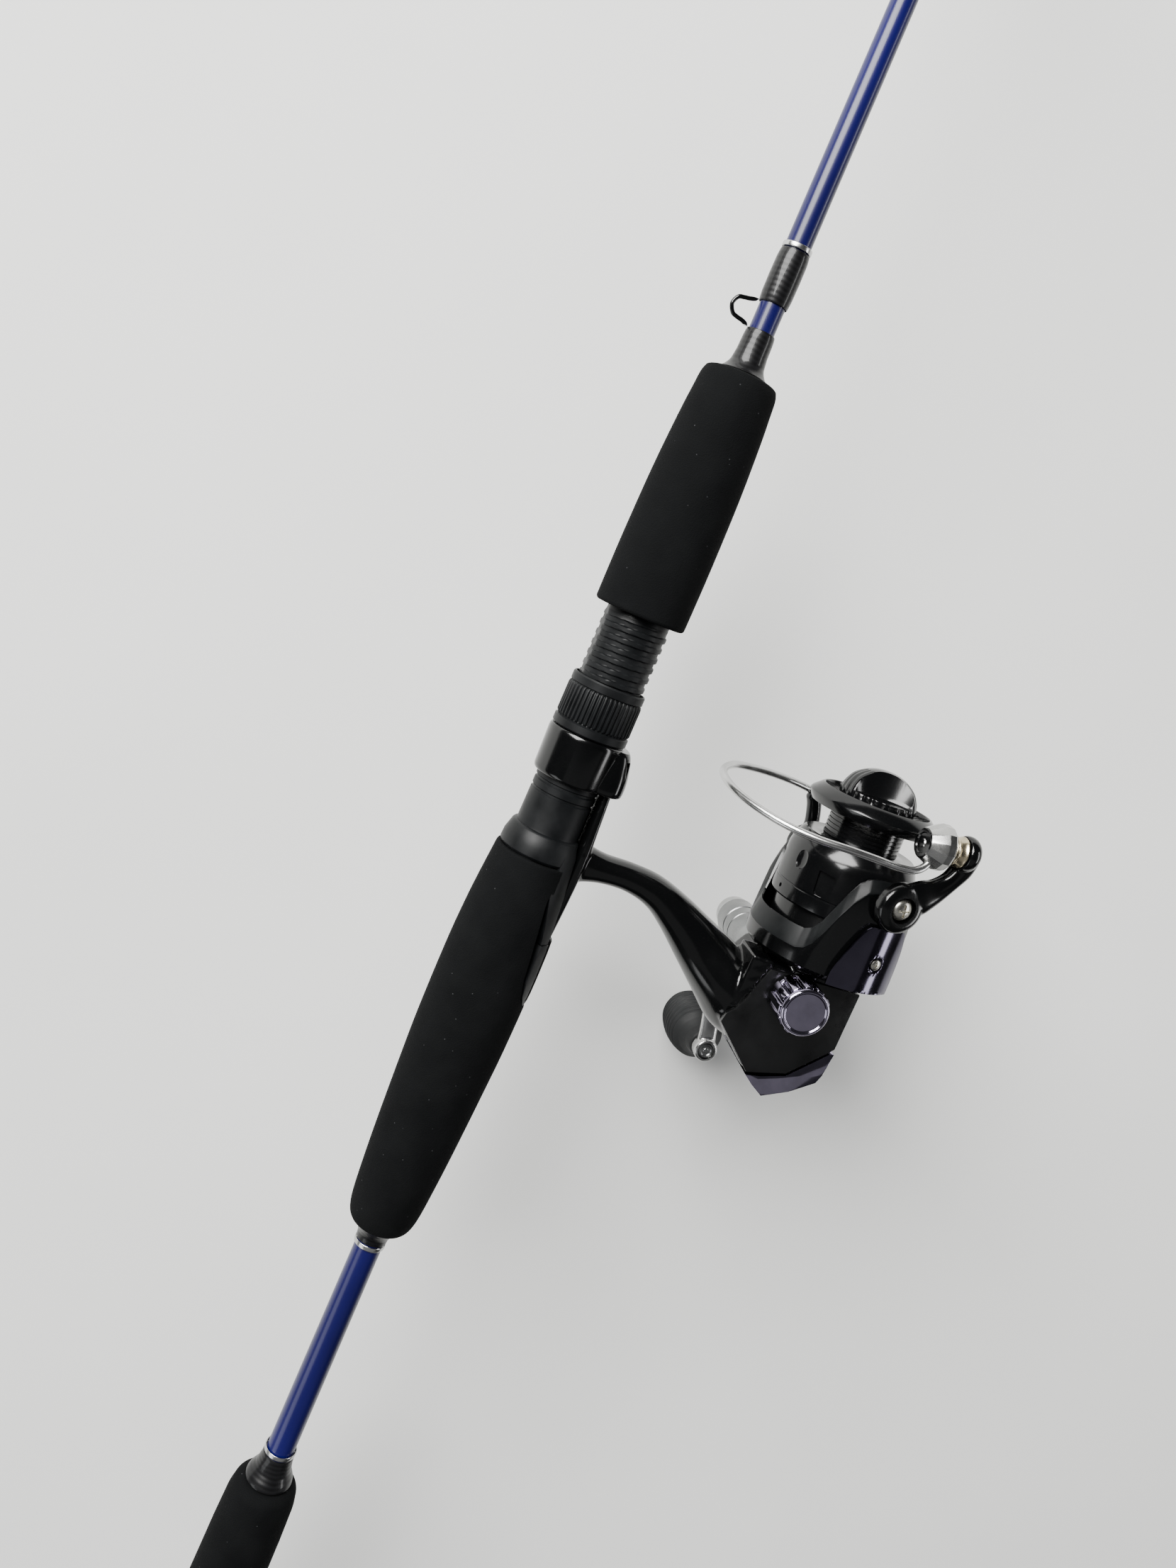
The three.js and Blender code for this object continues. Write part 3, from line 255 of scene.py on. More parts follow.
def wrapped(stations, inner, count):
    """A curved plate about x from stations of [x, from angle, to angle, outer radius]."""
    rings = []
    for x, start, end, outer in stations:
        steps = [start + (end - start) * k / count for k in range(count + 1)]
        rings.append([polar(x, outer, t) for t in steps] + [polar(x, inner, t) for t in steps[::-1]])
    return skin(rings)


def moved(shape, matrix):
    verts, faces = shape
    return [tuple(matrix @ Vector(v)) for v in verts], faces


def merged(*shapes):
    verts, faces = [], []
    for v, f in shapes:
        faces += [tuple(i + len(verts) for i in face) for face in f]
        verts += list(v)
    return verts, faces


def mesh_object(name, shape):
    verts, faces = shape
    mesh = bpy.data.meshes.new(name)
    mesh.from_pydata([tuple(v) for v in verts], [], faces)
    bm = bmesh.new()
    bm.from_mesh(mesh)
    bmesh.ops.recalc_face_normals(bm, faces=bm.faces)
    bm.to_mesh(mesh)
    bm.free()
    obj = bpy.data.objects.new(name, mesh)
    bpy.context.scene.collection.objects.link(obj)
    return obj


def baked(obj):
    """Applies the object's modifiers."""
    bpy.context.view_layer.update()
    graph = bpy.context.evaluated_depsgraph_get()
    mesh = bpy.data.meshes.new_from_object(obj.evaluated_get(graph))
    old = obj.data
    obj.modifiers.clear()
    obj.data = mesh
    bpy.data.meshes.remove(old)
    return obj


def bevelled(obj, width, segments=3, angle=35):
    mod = obj.modifiers.new("bevel", "BEVEL")
    mod.width = width
    mod.segments = segments
    mod.limit_method = "ANGLE"
    mod.angle_limit = math.radians(angle)
    baked(obj)


def combined(obj, tool_shapes, operation):
    for shape in tool_shapes:
        tool = mesh_object("tool", shape)
        mod = obj.modifiers.new("cut", "BOOLEAN")
        mod.operation = operation
        mod.solver = "EXACT"
        mod.object = tool
        baked(obj)
        bpy.data.objects.remove(tool)


def carved(obj, *tools):
    combined(obj, tools, "DIFFERENCE")


def fused(name, shapes, voxel, passes=8):
    """Melts overlapping shapes into one smooth body, with soft fillets where they meet."""
    obj = mesh_object(name, merged(*shapes))
    remesh = obj.modifiers.new("melt", "REMESH")
    remesh.mode = "VOXEL"
    remesh.voxel_size = voxel
    smooth = obj.modifiers.new("smooth", "SMOOTH")
    smooth.factor = 0.5
    smooth.iterations = passes
    return baked(obj)


def finish_piece(obj, local, body, material, replaced=(), sharp=32):
    obj.data.transform(local)
    obj.data.materials.clear()
    obj.data.materials.append(material)
    obj.data.shade_smooth()
    obj.data.set_sharp_from_angle(angle=math.radians(sharp))
    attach(obj, body)
    if replaced:
        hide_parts(*replaced)
    return obj


def piece(name, shape, local, body, material, replaced=(), sharp=32):
    return finish_piece(mesh_object(name, shape), local, body, material, replaced, sharp)


# ------------------------------------------------------------------ materials


def set_inputs(node, **values):
    """Sets a shader node's inputs. An underscore in a key stands for a space."""
    for key, value in values.items():
        node.inputs[key.replace("_", " ")].default_value = value
    return node


def shader(name, color, roughness, metallic=0.0, coat=0.0, coat_rough=0.03, spec=0.5):
    mat = bpy.data.materials.new(name)
    mat.use_nodes = True
    bsdf = set_inputs(mat.node_tree.nodes["Principled BSDF"], Base_Color=(*color, 1),
                      Roughness=roughness, Metallic=metallic, Coat_Weight=coat,
                      Coat_Roughness=coat_rough, Specular_IOR_Level=spec)
    return mat, mat.node_tree, bsdf


def place_coords(tree, scale=(1, 1, 1)):
    coords = tree.nodes.new("ShaderNodeTexCoord")
    mapping = set_inputs(tree.nodes.new("ShaderNodeMapping"), Scale=scale)
    tree.links.new(coords.outputs["Object"], mapping.inputs["Vector"])
    return mapping.outputs["Vector"]


def noise(tree, size_mm, detail=3.0, stretch=(1, 1, 1)):
    tex = set_inputs(tree.nodes.new("ShaderNodeTexNoise"), Scale=1 / (size_mm * MM), Detail=detail)
    tree.links.new(place_coords(tree, stretch), tex.inputs["Vector"])
    return tex.outputs["Fac"]


def ranged(tree, value, low, high, at=(0.3, 0.7)):
    step = set_inputs(tree.nodes.new("ShaderNodeMapRange"), From_Min=at[0], From_Max=at[1],
                      To_Min=low, To_Max=high)
    tree.links.new(value, step.inputs["Value"])
    return step.outputs["Result"]


def mixed(tree, value, color_a, color_b, at=(0.3, 0.7)):
    ramp = tree.nodes.new("ShaderNodeValToRGB")
    for element, position, color in zip(ramp.color_ramp.elements, at, (color_a, color_b)):
        element.position = position
        element.color = (*color, 1)
    tree.links.new(value, ramp.inputs["Fac"])
    return ramp.outputs["Color"]


def bump(tree, bsdf, height, strength, depth_mm, socket="Normal"):
    made = set_inputs(tree.nodes.new("ShaderNodeBump"), Strength=strength, Distance=depth_mm * MM)
    tree.links.new(height, made.inputs["Height"])
    tree.links.new(made.outputs["Normal"], bsdf.inputs[socket])


def added(tree, a, b, share=0.5):
    math_node = tree.nodes.new("ShaderNodeMath")
    math_node.operation = "MULTIPLY_ADD"
    tree.links.new(b, math_node.inputs[0])
    math_node.inputs[1].default_value = share
    tree.links.new(a, math_node.inputs[2])
    return math_node.outputs["Value"]


def cell_texture(tree, size_mm):
    """The distance to the nearest of many scattered points."""
    cells = set_inputs(tree.nodes.new("ShaderNodeTexVoronoi"), Scale=1 / (size_mm * MM))
    tree.links.new(place_coords(tree), cells.inputs["Vector"])
    return cells.outputs["Distance"]


def foam():
    mat, tree, bsdf = shader("eva_foam", (0.004, 0.004, 0.0042), 0.9, spec=0.06)
    cells = cell_texture(tree, 0.32)
    patches = noise(tree, 9, 4)
    color = mixed(tree, patches, (0.0022, 0.0024, 0.0026), (0.0042, 0.0045, 0.0047))
    dots = ranged(tree, cell_texture(tree, 3.4), 1, 0, (0.035, 0.06))
    blend = set_inputs(tree.nodes.new("ShaderNodeMixRGB"), Color2=(0.03, 0.03, 0.032, 1))
    tree.links.new(dots, blend.inputs["Fac"])
    tree.links.new(color, blend.inputs["Color1"])
    tree.links.new(blend.outputs["Color"], bsdf.inputs["Base Color"])
    tree.links.new(ranged(tree, patches, 0.84, 0.97), bsdf.inputs["Roughness"])
    height = added(tree, cells, noise(tree, 0.7, 5), 0.8)
    bump(tree, bsdf, height, 0.55, 0.12)
    return mat


def lacquer():
    mat, tree, bsdf = shader("blue_lacquer", (0.004, 0.003, 0.08), 0.32, coat=0.16, spec=0.3)
    flake = noise(tree, 0.12, 2)
    bands = noise(tree, 60, 3, (1, 3, 3))
    color = mixed(tree, added(tree, bands, flake, 0.35),
                  (0.0017, 0.0013, 0.032), (0.0036, 0.0026, 0.066), (0.45, 0.95))
    tree.links.new(color, bsdf.inputs["Base Color"])
    tree.links.new(ranged(tree, flake, 0.26, 0.4), bsdf.inputs["Roughness"])
    bump(tree, bsdf, noise(tree, 1.6, 2), 0.05, 0.05, "Coat Normal")
    return mat


def thread_wrap():
    mat, tree, bsdf = shader("thread_under_epoxy", (0.002, 0.002, 0.0024), 0.4, coat=0.2,
                             spec=0.22)
    wave = set_inputs(tree.nodes.new("ShaderNodeTexWave"), Scale=1 / (4.2 * MM), Distortion=0.4)
    wave.bands_direction = "X"
    tree.links.new(place_coords(tree), wave.inputs["Vector"])
    color = mixed(tree, wave.outputs["Fac"], (0.0014, 0.0014, 0.0017), (0.0034, 0.0034, 0.004))
    tree.links.new(color, bsdf.inputs["Base Color"])
    bump(tree, bsdf, wave.outputs["Fac"], 0.5, 0.06)
    bump(tree, bsdf, noise(tree, 3.5, 2), 0.12, 0.15, "Coat Normal")
    return mat


def moulded(name, color, roughness, grain_mm=0.18, strength=0.25, spec=0.5):
    """Moulded plastic: fine grain and faint mottling."""
    mat, tree, bsdf = shader(name, color, roughness, spec=spec)
    mottle = noise(tree, 6, 4)
    low = tuple(c * 0.8 for c in color)
    high = tuple(c * 1.25 + 0.001 for c in color)
    tree.links.new(mixed(tree, mottle, low, high), bsdf.inputs["Base Color"])
    tree.links.new(ranged(tree, mottle, roughness * 0.85, min(roughness * 1.2, 1)),
                   bsdf.inputs["Roughness"])
    bump(tree, bsdf, noise(tree, grain_mm, 3), strength, 0.03)
    return mat


def gloss_plastic(name="gloss_black", color=(0.0012, 0.0013, 0.0014)):
    """Polished black plastic with faint handling smudges and dust on it."""
    mat, tree, bsdf = shader(name, color, 0.16, coat=0.12, coat_rough=0.05, spec=0.34)
    smudge = noise(tree, 9, 4)
    tree.links.new(ranged(tree, smudge, 0.13, 0.21), bsdf.inputs["Roughness"])
    dust = noise(tree, 0.35, 2)
    high = tuple(c + 0.003 for c in color)
    tree.links.new(mixed(tree, dust, color, high, (0.6, 0.85)), bsdf.inputs["Base Color"])
    bump(tree, bsdf, noise(tree, 2.5, 3), 0.03, 0.04)
    return mat


def metal(name, color, roughness, brushed=(1, 1, 1), size_mm=0.25, strength=0.08, wear=0.12):
    """Metal with fine tool marks that run along the stretched directions."""
    mat, tree, bsdf = shader(name, color, roughness, 1.0)
    marks = noise(tree, size_mm, 4, brushed)
    smudge = noise(tree, 4, 3)
    shade = tuple(c * 0.82 for c in color)
    tree.links.new(mixed(tree, smudge, shade, color), bsdf.inputs["Base Color"])
    tree.links.new(ranged(tree, added(tree, smudge, marks, 0.6), roughness, roughness + wear,
                          (0.5, 1.1)), bsdf.inputs["Roughness"])
    bump(tree, bsdf, marks, strength, 0.02)
    return mat


FOAM = foam()
LACQUER = lacquer()
WRAP = thread_wrap()
GLOSS = gloss_plastic()
SPOOL_BLACK = gloss_plastic("spool_black", (0.0016, 0.0017, 0.0019))
SATIN = moulded("satin_black", (0.0026, 0.003, 0.0034), 0.44, spec=0.17)
BAND = moulded("satin_rotor_band", (0.0024, 0.0029, 0.0032), 0.4, 0.3, 0.15, spec=0.18)
PLATE = moulded("plate_black", (0.0016, 0.0017, 0.0018), 0.28, 0.12, 0.14)
RUBBER = moulded("knob_rubber", (0.0045, 0.005, 0.0055), 0.6, 0.35, 0.5, spec=0.4)
BUTT_RUBBER = moulded("butt_rubber", (0.004, 0.004, 0.0043), 0.7, 0.4, 0.6)
CHROME = metal("polished_steel", (0.58, 0.58, 0.575), 0.23, (1, 1, 1), 0.5, 0.02, 0.04)
SATIN_STEEL = metal("satin_steel", (0.27, 0.275, 0.275), 0.24, (8, 1, 1), 0.3, 0.12, 0.12)
CONE = metal("turned_steel", (0.5, 0.5, 0.49), 0.2, (1, 1, 1), 0.3, 0.1, 0.1)
SCREW = metal("screw_nickel", (0.62, 0.6, 0.54), 0.2, (1, 1, 1), 0.3, 0.15, 0.15)
VIOLET = metal("violet_chrome", (0.36, 0.325, 0.43), 0.07, (1, 1, 1), 0.5, 0.04, 0.06)
VIOLET_DARK = metal("violet_chrome_dark", (0.09, 0.082, 0.115), 0.08, (1, 1, 1), 0.5, 0.04, 0.06)
BRASS = metal("brass", (0.62, 0.54, 0.38), 0.2, (1, 1, 1), 0.3, 0.1, 0.15)
CERAMIC = gloss_plastic("guide_ceramic", (0.03, 0.03, 0.034))


# ------------------------------------------------------------------ rod


def span(name):
    """A node's extent along the rod, in millimetres."""
    low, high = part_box(name)
    return low.x / MM, high.x / MM


def girth(name):
    """A node's outer radius in millimetres."""
    low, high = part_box(name)
    return (high.z - low.z) / 2 / MM


BUTT_DIAMETER, BUTT_TAPER = 8.93, 0.0051
FERRULE_X = 672
TIP_TAPER_X, TIP_TAPER_RUN = 772, 594
TIP_TAPER_R, TIP_TAPER_LOSS = 2.72, 1.77


def blank_radius(x):
    """The butt section's outer radius."""
    return (BUTT_DIAMETER - BUTT_TAPER * x) / 2


def tip_radius(x):
    """The tip section's outer radius past the joint, taken as one even taper."""
    return TIP_TAPER_R - TIP_TAPER_LOSS * (x - TIP_TAPER_X) / TIP_TAPER_RUN


def blanks():
    start, end = span("blank_butt_section")
    tip_start, tip_end = span("blank_tip_section")
    outline = [(start, blank_radius(start) - 1.1), (start, blank_radius(start))]
    outline += [(x, blank_radius(x)) for x in np.linspace(start + 40, tip_start - 4, 12)]
    outline += [(end, blank_radius(end) - 0.35), (end, blank_radius(end) - 1.3)]
    piece("butt_section", revolve(outline, 64), ROD, "rod_handle", LACQUER,
          ["blank_butt_section"])
    socket = blank_radius(tip_start) + 0.15
    outline = [(tip_start, socket), (tip_start, 3.45), (tip_start + 70, 3.2),
               (tip_start + 100, 2.72), (tip_end - 200, 1.55), (tip_end, 0.95), (tip_end, 0),
               (tip_start + 74, 0), (tip_start + 72.5, blank_radius(end))]
    shape = revolve(outline, 56)
    piece("tip_section", shape, ROD, "rod_tip", LACQUER, ["blank_tip_section"])


def grips():
    start, end = span("butt_cap")
    ring = [(start, 0), (start, 3.2), (start + 0.5, 3.6), (start + 0.5, 4.6), (start, 5),
            (start, 9.6), (start + 0.9, 11.2), (start + 2.6, 11.6), (start + 3, 11.35),
            (start + 3.4, 11.6), (end, 11.6), (end, 0)]
    piece("butt_cap_rubber", revolve(rounded(ring, 0.5), 96), ROD, "rod_handle",
          BUTT_RUBBER, ["butt_cap"])
    butt = [(6.3, 4.8), (6.3, 11.3), (8.5, 11.6), (30, 11.5), (55, 11.0), (72, 10.75),
            (84, 10.35), (88.5, 9.5), (90.2, 7.6), (90.2, 4.8)]
    obj = piece("butt_grip_foam", revolve(rounded(butt, 1.2, 6), 112), ROD, "rod_handle",
                FOAM, ["butt_grip"])
    rear = catmull([(182.2, 8.3), (184, 9.4), (188.7, 10.33), (199.7, 11.18), (210.5, 11.81),
                    (221, 12.3), (232, 12.76), (242, 13.13), (252.5, 13.3), (263, 13.33),
                    (273, 13.2), (285, 12.65), (299.2, 11.5)], 4)
    outline = [(182.2, 4.4)] + [tuple(p) for p in rear]
    outline += [(299.6, 11.2), (299.6, 9.95), (253.7, 9.95), (253.7, 4.4)]
    obj = mesh_object("rear_grip_foam", revolve(rounded(outline, 0.6, 3), 128))
    window = [(264, -30), (257.6, -14.5), (258.6, -12.4), (262, -9.9), (268, -8.3),
              (289, -5.6), (291.4, -5.4), (292.6, -6.4), (310, -6.4), (310, -30)]
    carved(obj, prism(window, -20, 20))
    bevelled(obj, 0.35, 2, 50)
    finish_piece(obj, ROD, "rod_handle", FOAM, ["rear_grip"])
    front = catmull([(368.9, 12.28), (373, 12.3), (384, 12.28), (395, 12.1), (404, 11.86),
                     (412.7, 11.44), (421, 10.9), (425.5, 10.5), (429.7, 10.1), (431.7, 9.4)], 4)
    outline = [(368.2, 9.4), (368.2, 11.8)] + [tuple(p) for p in front]
    outline += [(432.2, 8.4), (432.2, 3.9), (374.3, 3.9), (374.3, 9.4)]
    obj = piece("foregrip_foam", revolve(rounded(outline, 0.7, 3), 128), ROD, "rod_handle",
                FOAM, ["foregrip"])


def wraps_and_trim():
    collars = {
        "butt_grip_check": [(90.5, 4.45), (90.5, 7.3), (92.4, 6.9), (95, 5.5), (98, 4.9),
                            (100.2, 4.75), (100.2, 4.45)],
        "rear_grip_check": [(176.1, 4.25), (176.1, 4.5), (178.0, 4.7), (179.6, 5.5),
                            (181.9, 7.3), (181.9, 4.25)],
        "foregrip_wrap": [(432.5, 3.6), (432.5, 6.7), (433.3, 5.6), (435.0, 4.5), (438, 4.1),
                          (442, 3.95), (443.4, 3.75), (443.4, 3.6)],
        "keeper_wrap": [(450.3, 3.5), (450.3, 3.75), (452.5, 3.98), (457, 4.04), (461.5, 3.98),
                        (463.6, 3.75), (463.6, 3.5)],
        "ferrule_wrap": [(671.6, 3.75), (671.6, 4.0), (673, 4.25), (684, 4.22), (696, 4.1),
                         (699, 3.8), (699, 3.75)],
    }
    for name, outline in collars.items():
        body = "rod_tip" if name == "ferrule_wrap" else "rod_handle"
        piece(name + "_epoxy", revolve(rounded(outline, 0.8, 5), 72), ROD, body,
              WRAP, [name])
    for name in ("butt_trim_ring", "rear_trim_ring", "front_trim_ring"):
        low, high = span(name)
        outer = girth(name)
        outline = [(low, outer - 0.35), (low, outer), (high, outer), (high, outer - 0.35)]
        piece(name + "_polished", revolve(rounded(outline, 0.3), 72), ROD, "rod_handle",
              CHROME, [name])


THREAD_START, THREAD_END, THREAD_PITCH = 335.4, 366.2, 2.8
SEAT_R, CREST_R = 8.55, 9.03
SEAT_FLAT, SADDLE_FLOOR = 8.42, -8.5


def seat_radius(x, r, angle):
    """The seat's wall: a true helix on the thread, a flat above and a saddle below."""
    if r > SEAT_R - 0.02 and THREAD_START - 1 <= x <= THREAD_END + 1:
        turns = (x - THREAD_START) / THREAD_PITCH - angle / (2 * math.pi)
        height = min(max(0.5 + 2.2 * math.cos(2 * math.pi * turns), 0), 1)
        fade = min(max(min(x - THREAD_START + 1, THREAD_END + 1 - x) / 1.5, 0), 1)
        r = SEAT_R + (CREST_R - SEAT_R) * height * fade
    y = r * math.cos(angle)
    if x > 334 and y > SEAT_FLAT:
        r = SEAT_FLAT / math.cos(angle)
    if 255 < x < 334 and y < SADDLE_FLOOR and r > 8:
        r = SADDLE_FLOOR / math.cos(angle)
    return r


def reel_seat():
    outline = [(254, 6.4), (254, 9.6), (299.9, 9.62), (300, 10.6), (300.6, 11.0), (303, 10.85),
               (306.3, 9.9), (306.8, 9.5), (307, 8.95), (307.6, 8.85), (316.4, 8.75),
               (316.7, 8.4), (317.2, 8.4), (317.5, 8.75), (319.2, 8.75), (319.5, 8.4),
               (320.0, 8.4), (320.3, 8.75), (333.2, 8.7)]
    outline += [(x, SEAT_R) for x in np.arange(THREAD_START - 1.2, THREAD_END + 1.2, 0.2)]
    outline += [(374, SEAT_R), (374, 6.4)]
    shape = revolve(outline, 128, seat_radius)
    saddle = []
    for sign in (1, -1):
        stations = [(x, 180 - sign * a, 180 - sign * b, r) for x, a, b, r in
                    [(278.7, 47, 30, 13.0), (284, 52, 31, 12.75), (290, 59.5, 32, 12.3),
                     (292, 62, 32.5, 12.15), (299.6, 62.5, 33, 11.25), (303, 60, 33.5, 10.9),
                     (306.2, 52, 34.5, 9.9)]]
        saddle.append(wrapped(stations, 8.7, 10))
    piece("reel_seat", merged(shape, *saddle), ROD, "rod_handle", SATIN,
          ["reel_seat_body", "seat_arbor"])
    stations = [(258.2, 172, 188, 12.6), (259.0, 160, 200, 13.1), (260.4, 147, 213, 13.4),
                (263, 138, 222, 13.55), (268, 133, 227, 13.55), (275, 133, 227, 13.4),
                (278.4, 133.5, 226.5, 13.2)]
    hood = mesh_object("rear_hood", wrapped(stations, 9.95, 28))
    carved(hood, prism([(261.2, -12.6), (282, -12.6), (282, -8), (261.2, -8)], -6.6, 6.6))
    bevelled(hood, 0.3, 3, 40)
    finish_piece(hood, ROD, "rod_handle", SATIN, ["fixed_hood"])


def hood_and_nut():
    back, front = span("sliding_hood")
    tube_outline = [(back, 9.45), (back, 9.9), (back + 0.8, 10.3), (front - 1, 10.6),
                    (front, 10.3), (front, 9.45)]
    bulge = [section((back + dx, -7.9, 0), (0, h, 0), (0, 0, w), 48, 2.8) for dx, h, w in
             [(0.0, 4.6, 6.2), (0.25, 5.5, 7.3), (1.2, 6.5, 8.1), (5, 6.45, 7.9),
              (9.4, 5.5, 7.2), (11.6, 4.75, 6.6), (12.6, 4.1, 5.9)]]
    hood = mesh_object("front_hood", revolve(rounded(tube_outline, 0.5), 112))
    combined(hood, [smooth_skin(bulge, 4)], "UNION")
    carved(hood, bar(back - 3, front + 3, 9.44, 112),
           prism([(back - 3, -12.7), (front - 2.4, -12.7), (front - 2.4, -6), (back - 3, -6)],
                 -6.2, 6.2))
    bevelled(hood, 0.25, 2, 50)
    finish_piece(hood, ROD, "sliding_hood", GLOSS, ["sliding_hood"])
    back, front = span("lock_nut")
    ribs = 48

    def ribbed(x, r, angle):
        if r < 9.75 or not back + 2.8 < x < front - 2.6:
            return r
        wave = math.cos(ribs * angle)
        return r + 0.24 * min(max(0.2 + 1.6 * wave, -1), 1)

    outline = [(back, 9.45), (back, 10.1), (back + 0.3, 10.35), (back + 2.1, 10.35),
               (back + 2.5, 9.7), (back + 2.85, 9.86), (back + 3.2, 10.02), (front - 3.4, 9.98),
               (front - 2.9, 9.8), (front - 2.5, 9.7), (front - 2.3, 10.05), (front - 0.4, 10.05),
               (front, 9.8), (front, 9.45)]
    piece("hood_nut", revolve(outline, 480, ribbed), ROD, "lock_nut", SATIN,
          ["lock_nut"])


def keeper():
    loop = tube([(442.2, 4.25, 0), (443.6, 4.5, 0), (444.15, 5.6, 0), (444.4, 7.2, 0),
                 (444.9, 8.6, 0), (446.8, 9.6, 0), (448.7, 8.8, 0), (449.2, 7.4, 0),
                 (449.55, 5.9, 0), (450.2, 4.5, 0), (451.6, 4.2, 0)], 0.55, 20, 8)
    low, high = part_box("hook_keeper")
    verts, faces = loop
    keep = [(min(max(x, low.x / MM), high.x / MM), max(y, low.y / MM), z) for x, y, z in verts]
    piece("keeper_loop", (keep, faces), ROD, "rod_handle", GLOSS, ["hook_keeper"])


def guide(name, x, r, h, leg, body):
    surface = blank_radius(x) if x < FERRULE_X else tip_radius(x)
    y0 = -(surface + 0.55)
    wall = 0.9 + r * 0.08
    rim = r + wall + 0.7
    lean = Matrix.Translation((x + leg, -h, 0)) @ Matrix.Rotation(math.radians(12), 4, "Z")
    band = [(-1.3, r + wall + 0.3), (1.3, r + wall + 0.3), (1.3, r + wall + 1.05),
            (-1.3, r + wall + 1.05)]
    parts = [moved(revolve(rounded(band, 0.3), 64), lean)]
    for side in (1, -1):
        parts.append(tube([(x - 1, y0, 0.2 * side), (x + 1, y0, 0.3 * side),
                           (x + leg * 0.45, y0 - (h + y0) * 0.12, rim * 0.35 * side),
                           (x + leg * 0.92, -h + rim * 0.35, rim * 0.92 * side)], 0.55, 14, 8))
    parts.append(tube([(x - 1, y0 - 0.1, 0), (x + 1, y0 - 0.1, 0), (x + leg * 0.5, y0 - 0.5, 0),
                       (x + leg * 0.9, -h + rim - 0.1, 0)], 0.55, 14, 8))
    foot = [section((px, y0, 0), (0, hh, 0), (0, 0, ww), 24, 2.4) for px, hh, ww in
            [(x - leg * 0.7, 0.2, 0.5), (x - leg * 0.55, 0.36, 0.9), (x - leg * 0.2, 0.5, 1.02),
             (x + 1.0, 0.52, 0.95), (x + 2.1, 0.4, 0.5)]]
    parts.append(smooth_skin(foot, 4))
    piece(f"{name}_guide_frame", merged(*parts), ROD, body, SATIN_STEEL,
          [f"guide_{name}_frame"])
    bead = [(-0.9, r + 0.35), (-0.55, r + 0.05), (0, r), (0.55, r + 0.05), (0.9, r + 0.35),
            (0.9, r + wall), (-0.9, r + wall)]
    piece(f"{name}_guide_ring", moved(revolve(rounded(bead, 0.25), 64), lean), ROD, body,
          CERAMIC, [f"guide_{name}_ring"])
    wrap = [(x - leg * 0.7 - 2.5, surface + 0.15), (x - leg * 0.7 - 2.5, surface + 0.4),
            (x - leg * 0.7, surface + 0.8), (x - leg * 0.5, surface + 1.8), (x - 1, surface + 1.85),
            (x + 0.8, surface + 1.2), (x + 0.8, surface + 0.15)]
    piece(f"{name}_guide_wrap", revolve(rounded(wrap, 1.0, 5), 56), ROD, body,
          WRAP, [f"guide_{name}_wrap"])


def tip_top():
    end = span("blank_tip_section")[1]
    barrel = [(end - 9, 1.25), (end - 9, 1.55), (end - 8.4, 1.6), (end + 1.0, 1.6),
              (end + 1.6, 1.2), (end + 1.6, 0), (end + 0.4, 0), (end + 0.4, 1.25)]
    lean = Matrix.Translation((end + 2.6, -4.6, 0)) @ Matrix.Rotation(math.radians(20), 4, "Z")
    ring = [(-0.9, 2.35), (0, 2.1), (0.9, 2.35), (0.9, 3.3), (-0.9, 3.3)]
    parts = [revolve(barrel, 40), moved(revolve(rounded(ring, 0.3), 56), lean)]
    for side in (1, -1):
        parts.append(tube([(end - 4.5, -1.3, 0.6 * side), (end - 1.5, -3, 2 * side),
                           (end + 2, -5, 2.75 * side)], 0.48, 14, 8))
    piece("tip_guide", merged(*parts), ROD, "rod_tip", SATIN_STEEL, ["tip_top"])


# ------------------------------------------------------------------ reel body

PLATE_Z, PLATE_TOP, HOUSING_BOTTOM = 12.3, 13.8, -13.0


def stem_and_foot():
    """The foot and the stem that sweeps down from it, in the rod frame."""
    stations = [((301.3, -11.2), (1, 0), 6.6, 5.3), ((301.5, -13.2), (1, 0.02), 5.2, 4.8),
                ((301.9, -18.5), (1, 0.06), 4.0, 4.5), ((302.2, -26), (1, -0.02), 3.9, 4.6),
                ((301.0, -34), (1, -0.2), 4.5, 5.2), ((297.4, -42), (0.93, -0.45), 5.6, 6.2),
                ((291.4, -52), (0.84, -0.55), 7.4, 8.0), ((285.4, -62), (0.82, -0.57), 9.4, 11.7),
                ((281.5, -69.5), (0.84, -0.54), 11.4, 12.9),
                ((279.8, -74.5), (0.9, -0.43), 11.6, 12.2)]
    rings = []
    for (x, y), (nx, ny), w, h in stations:
        size = math.hypot(nx, ny)
        ridged = min(max((-y - 40) / 20, 0), 1)
        rings.append(section((x, y, 0), (nx / size * w, ny / size * w, 0), (0, 0, h), 64,
                             2.45 - 0.2 * ridged))
    stem = smooth_skin(rings, 10)
    foot = smooth_skin([section((x, -8.85 - t, 0), (0, t, 0), (0, 0, w), 40, 3.2) for x, w, t in
                        [(262.2, 3.0, 0.7), (263.5, 4.8, 1.1), (275, 5.6, 1.45), (292, 5.9, 1.9),
                         (304, 5.9, 2.0), (314, 5.7, 1.7), (323, 5.2, 1.4), (329.5, 4.6, 1.0),
                         (330.6, 3.4, 0.7)]], 6)
    return stem, foot


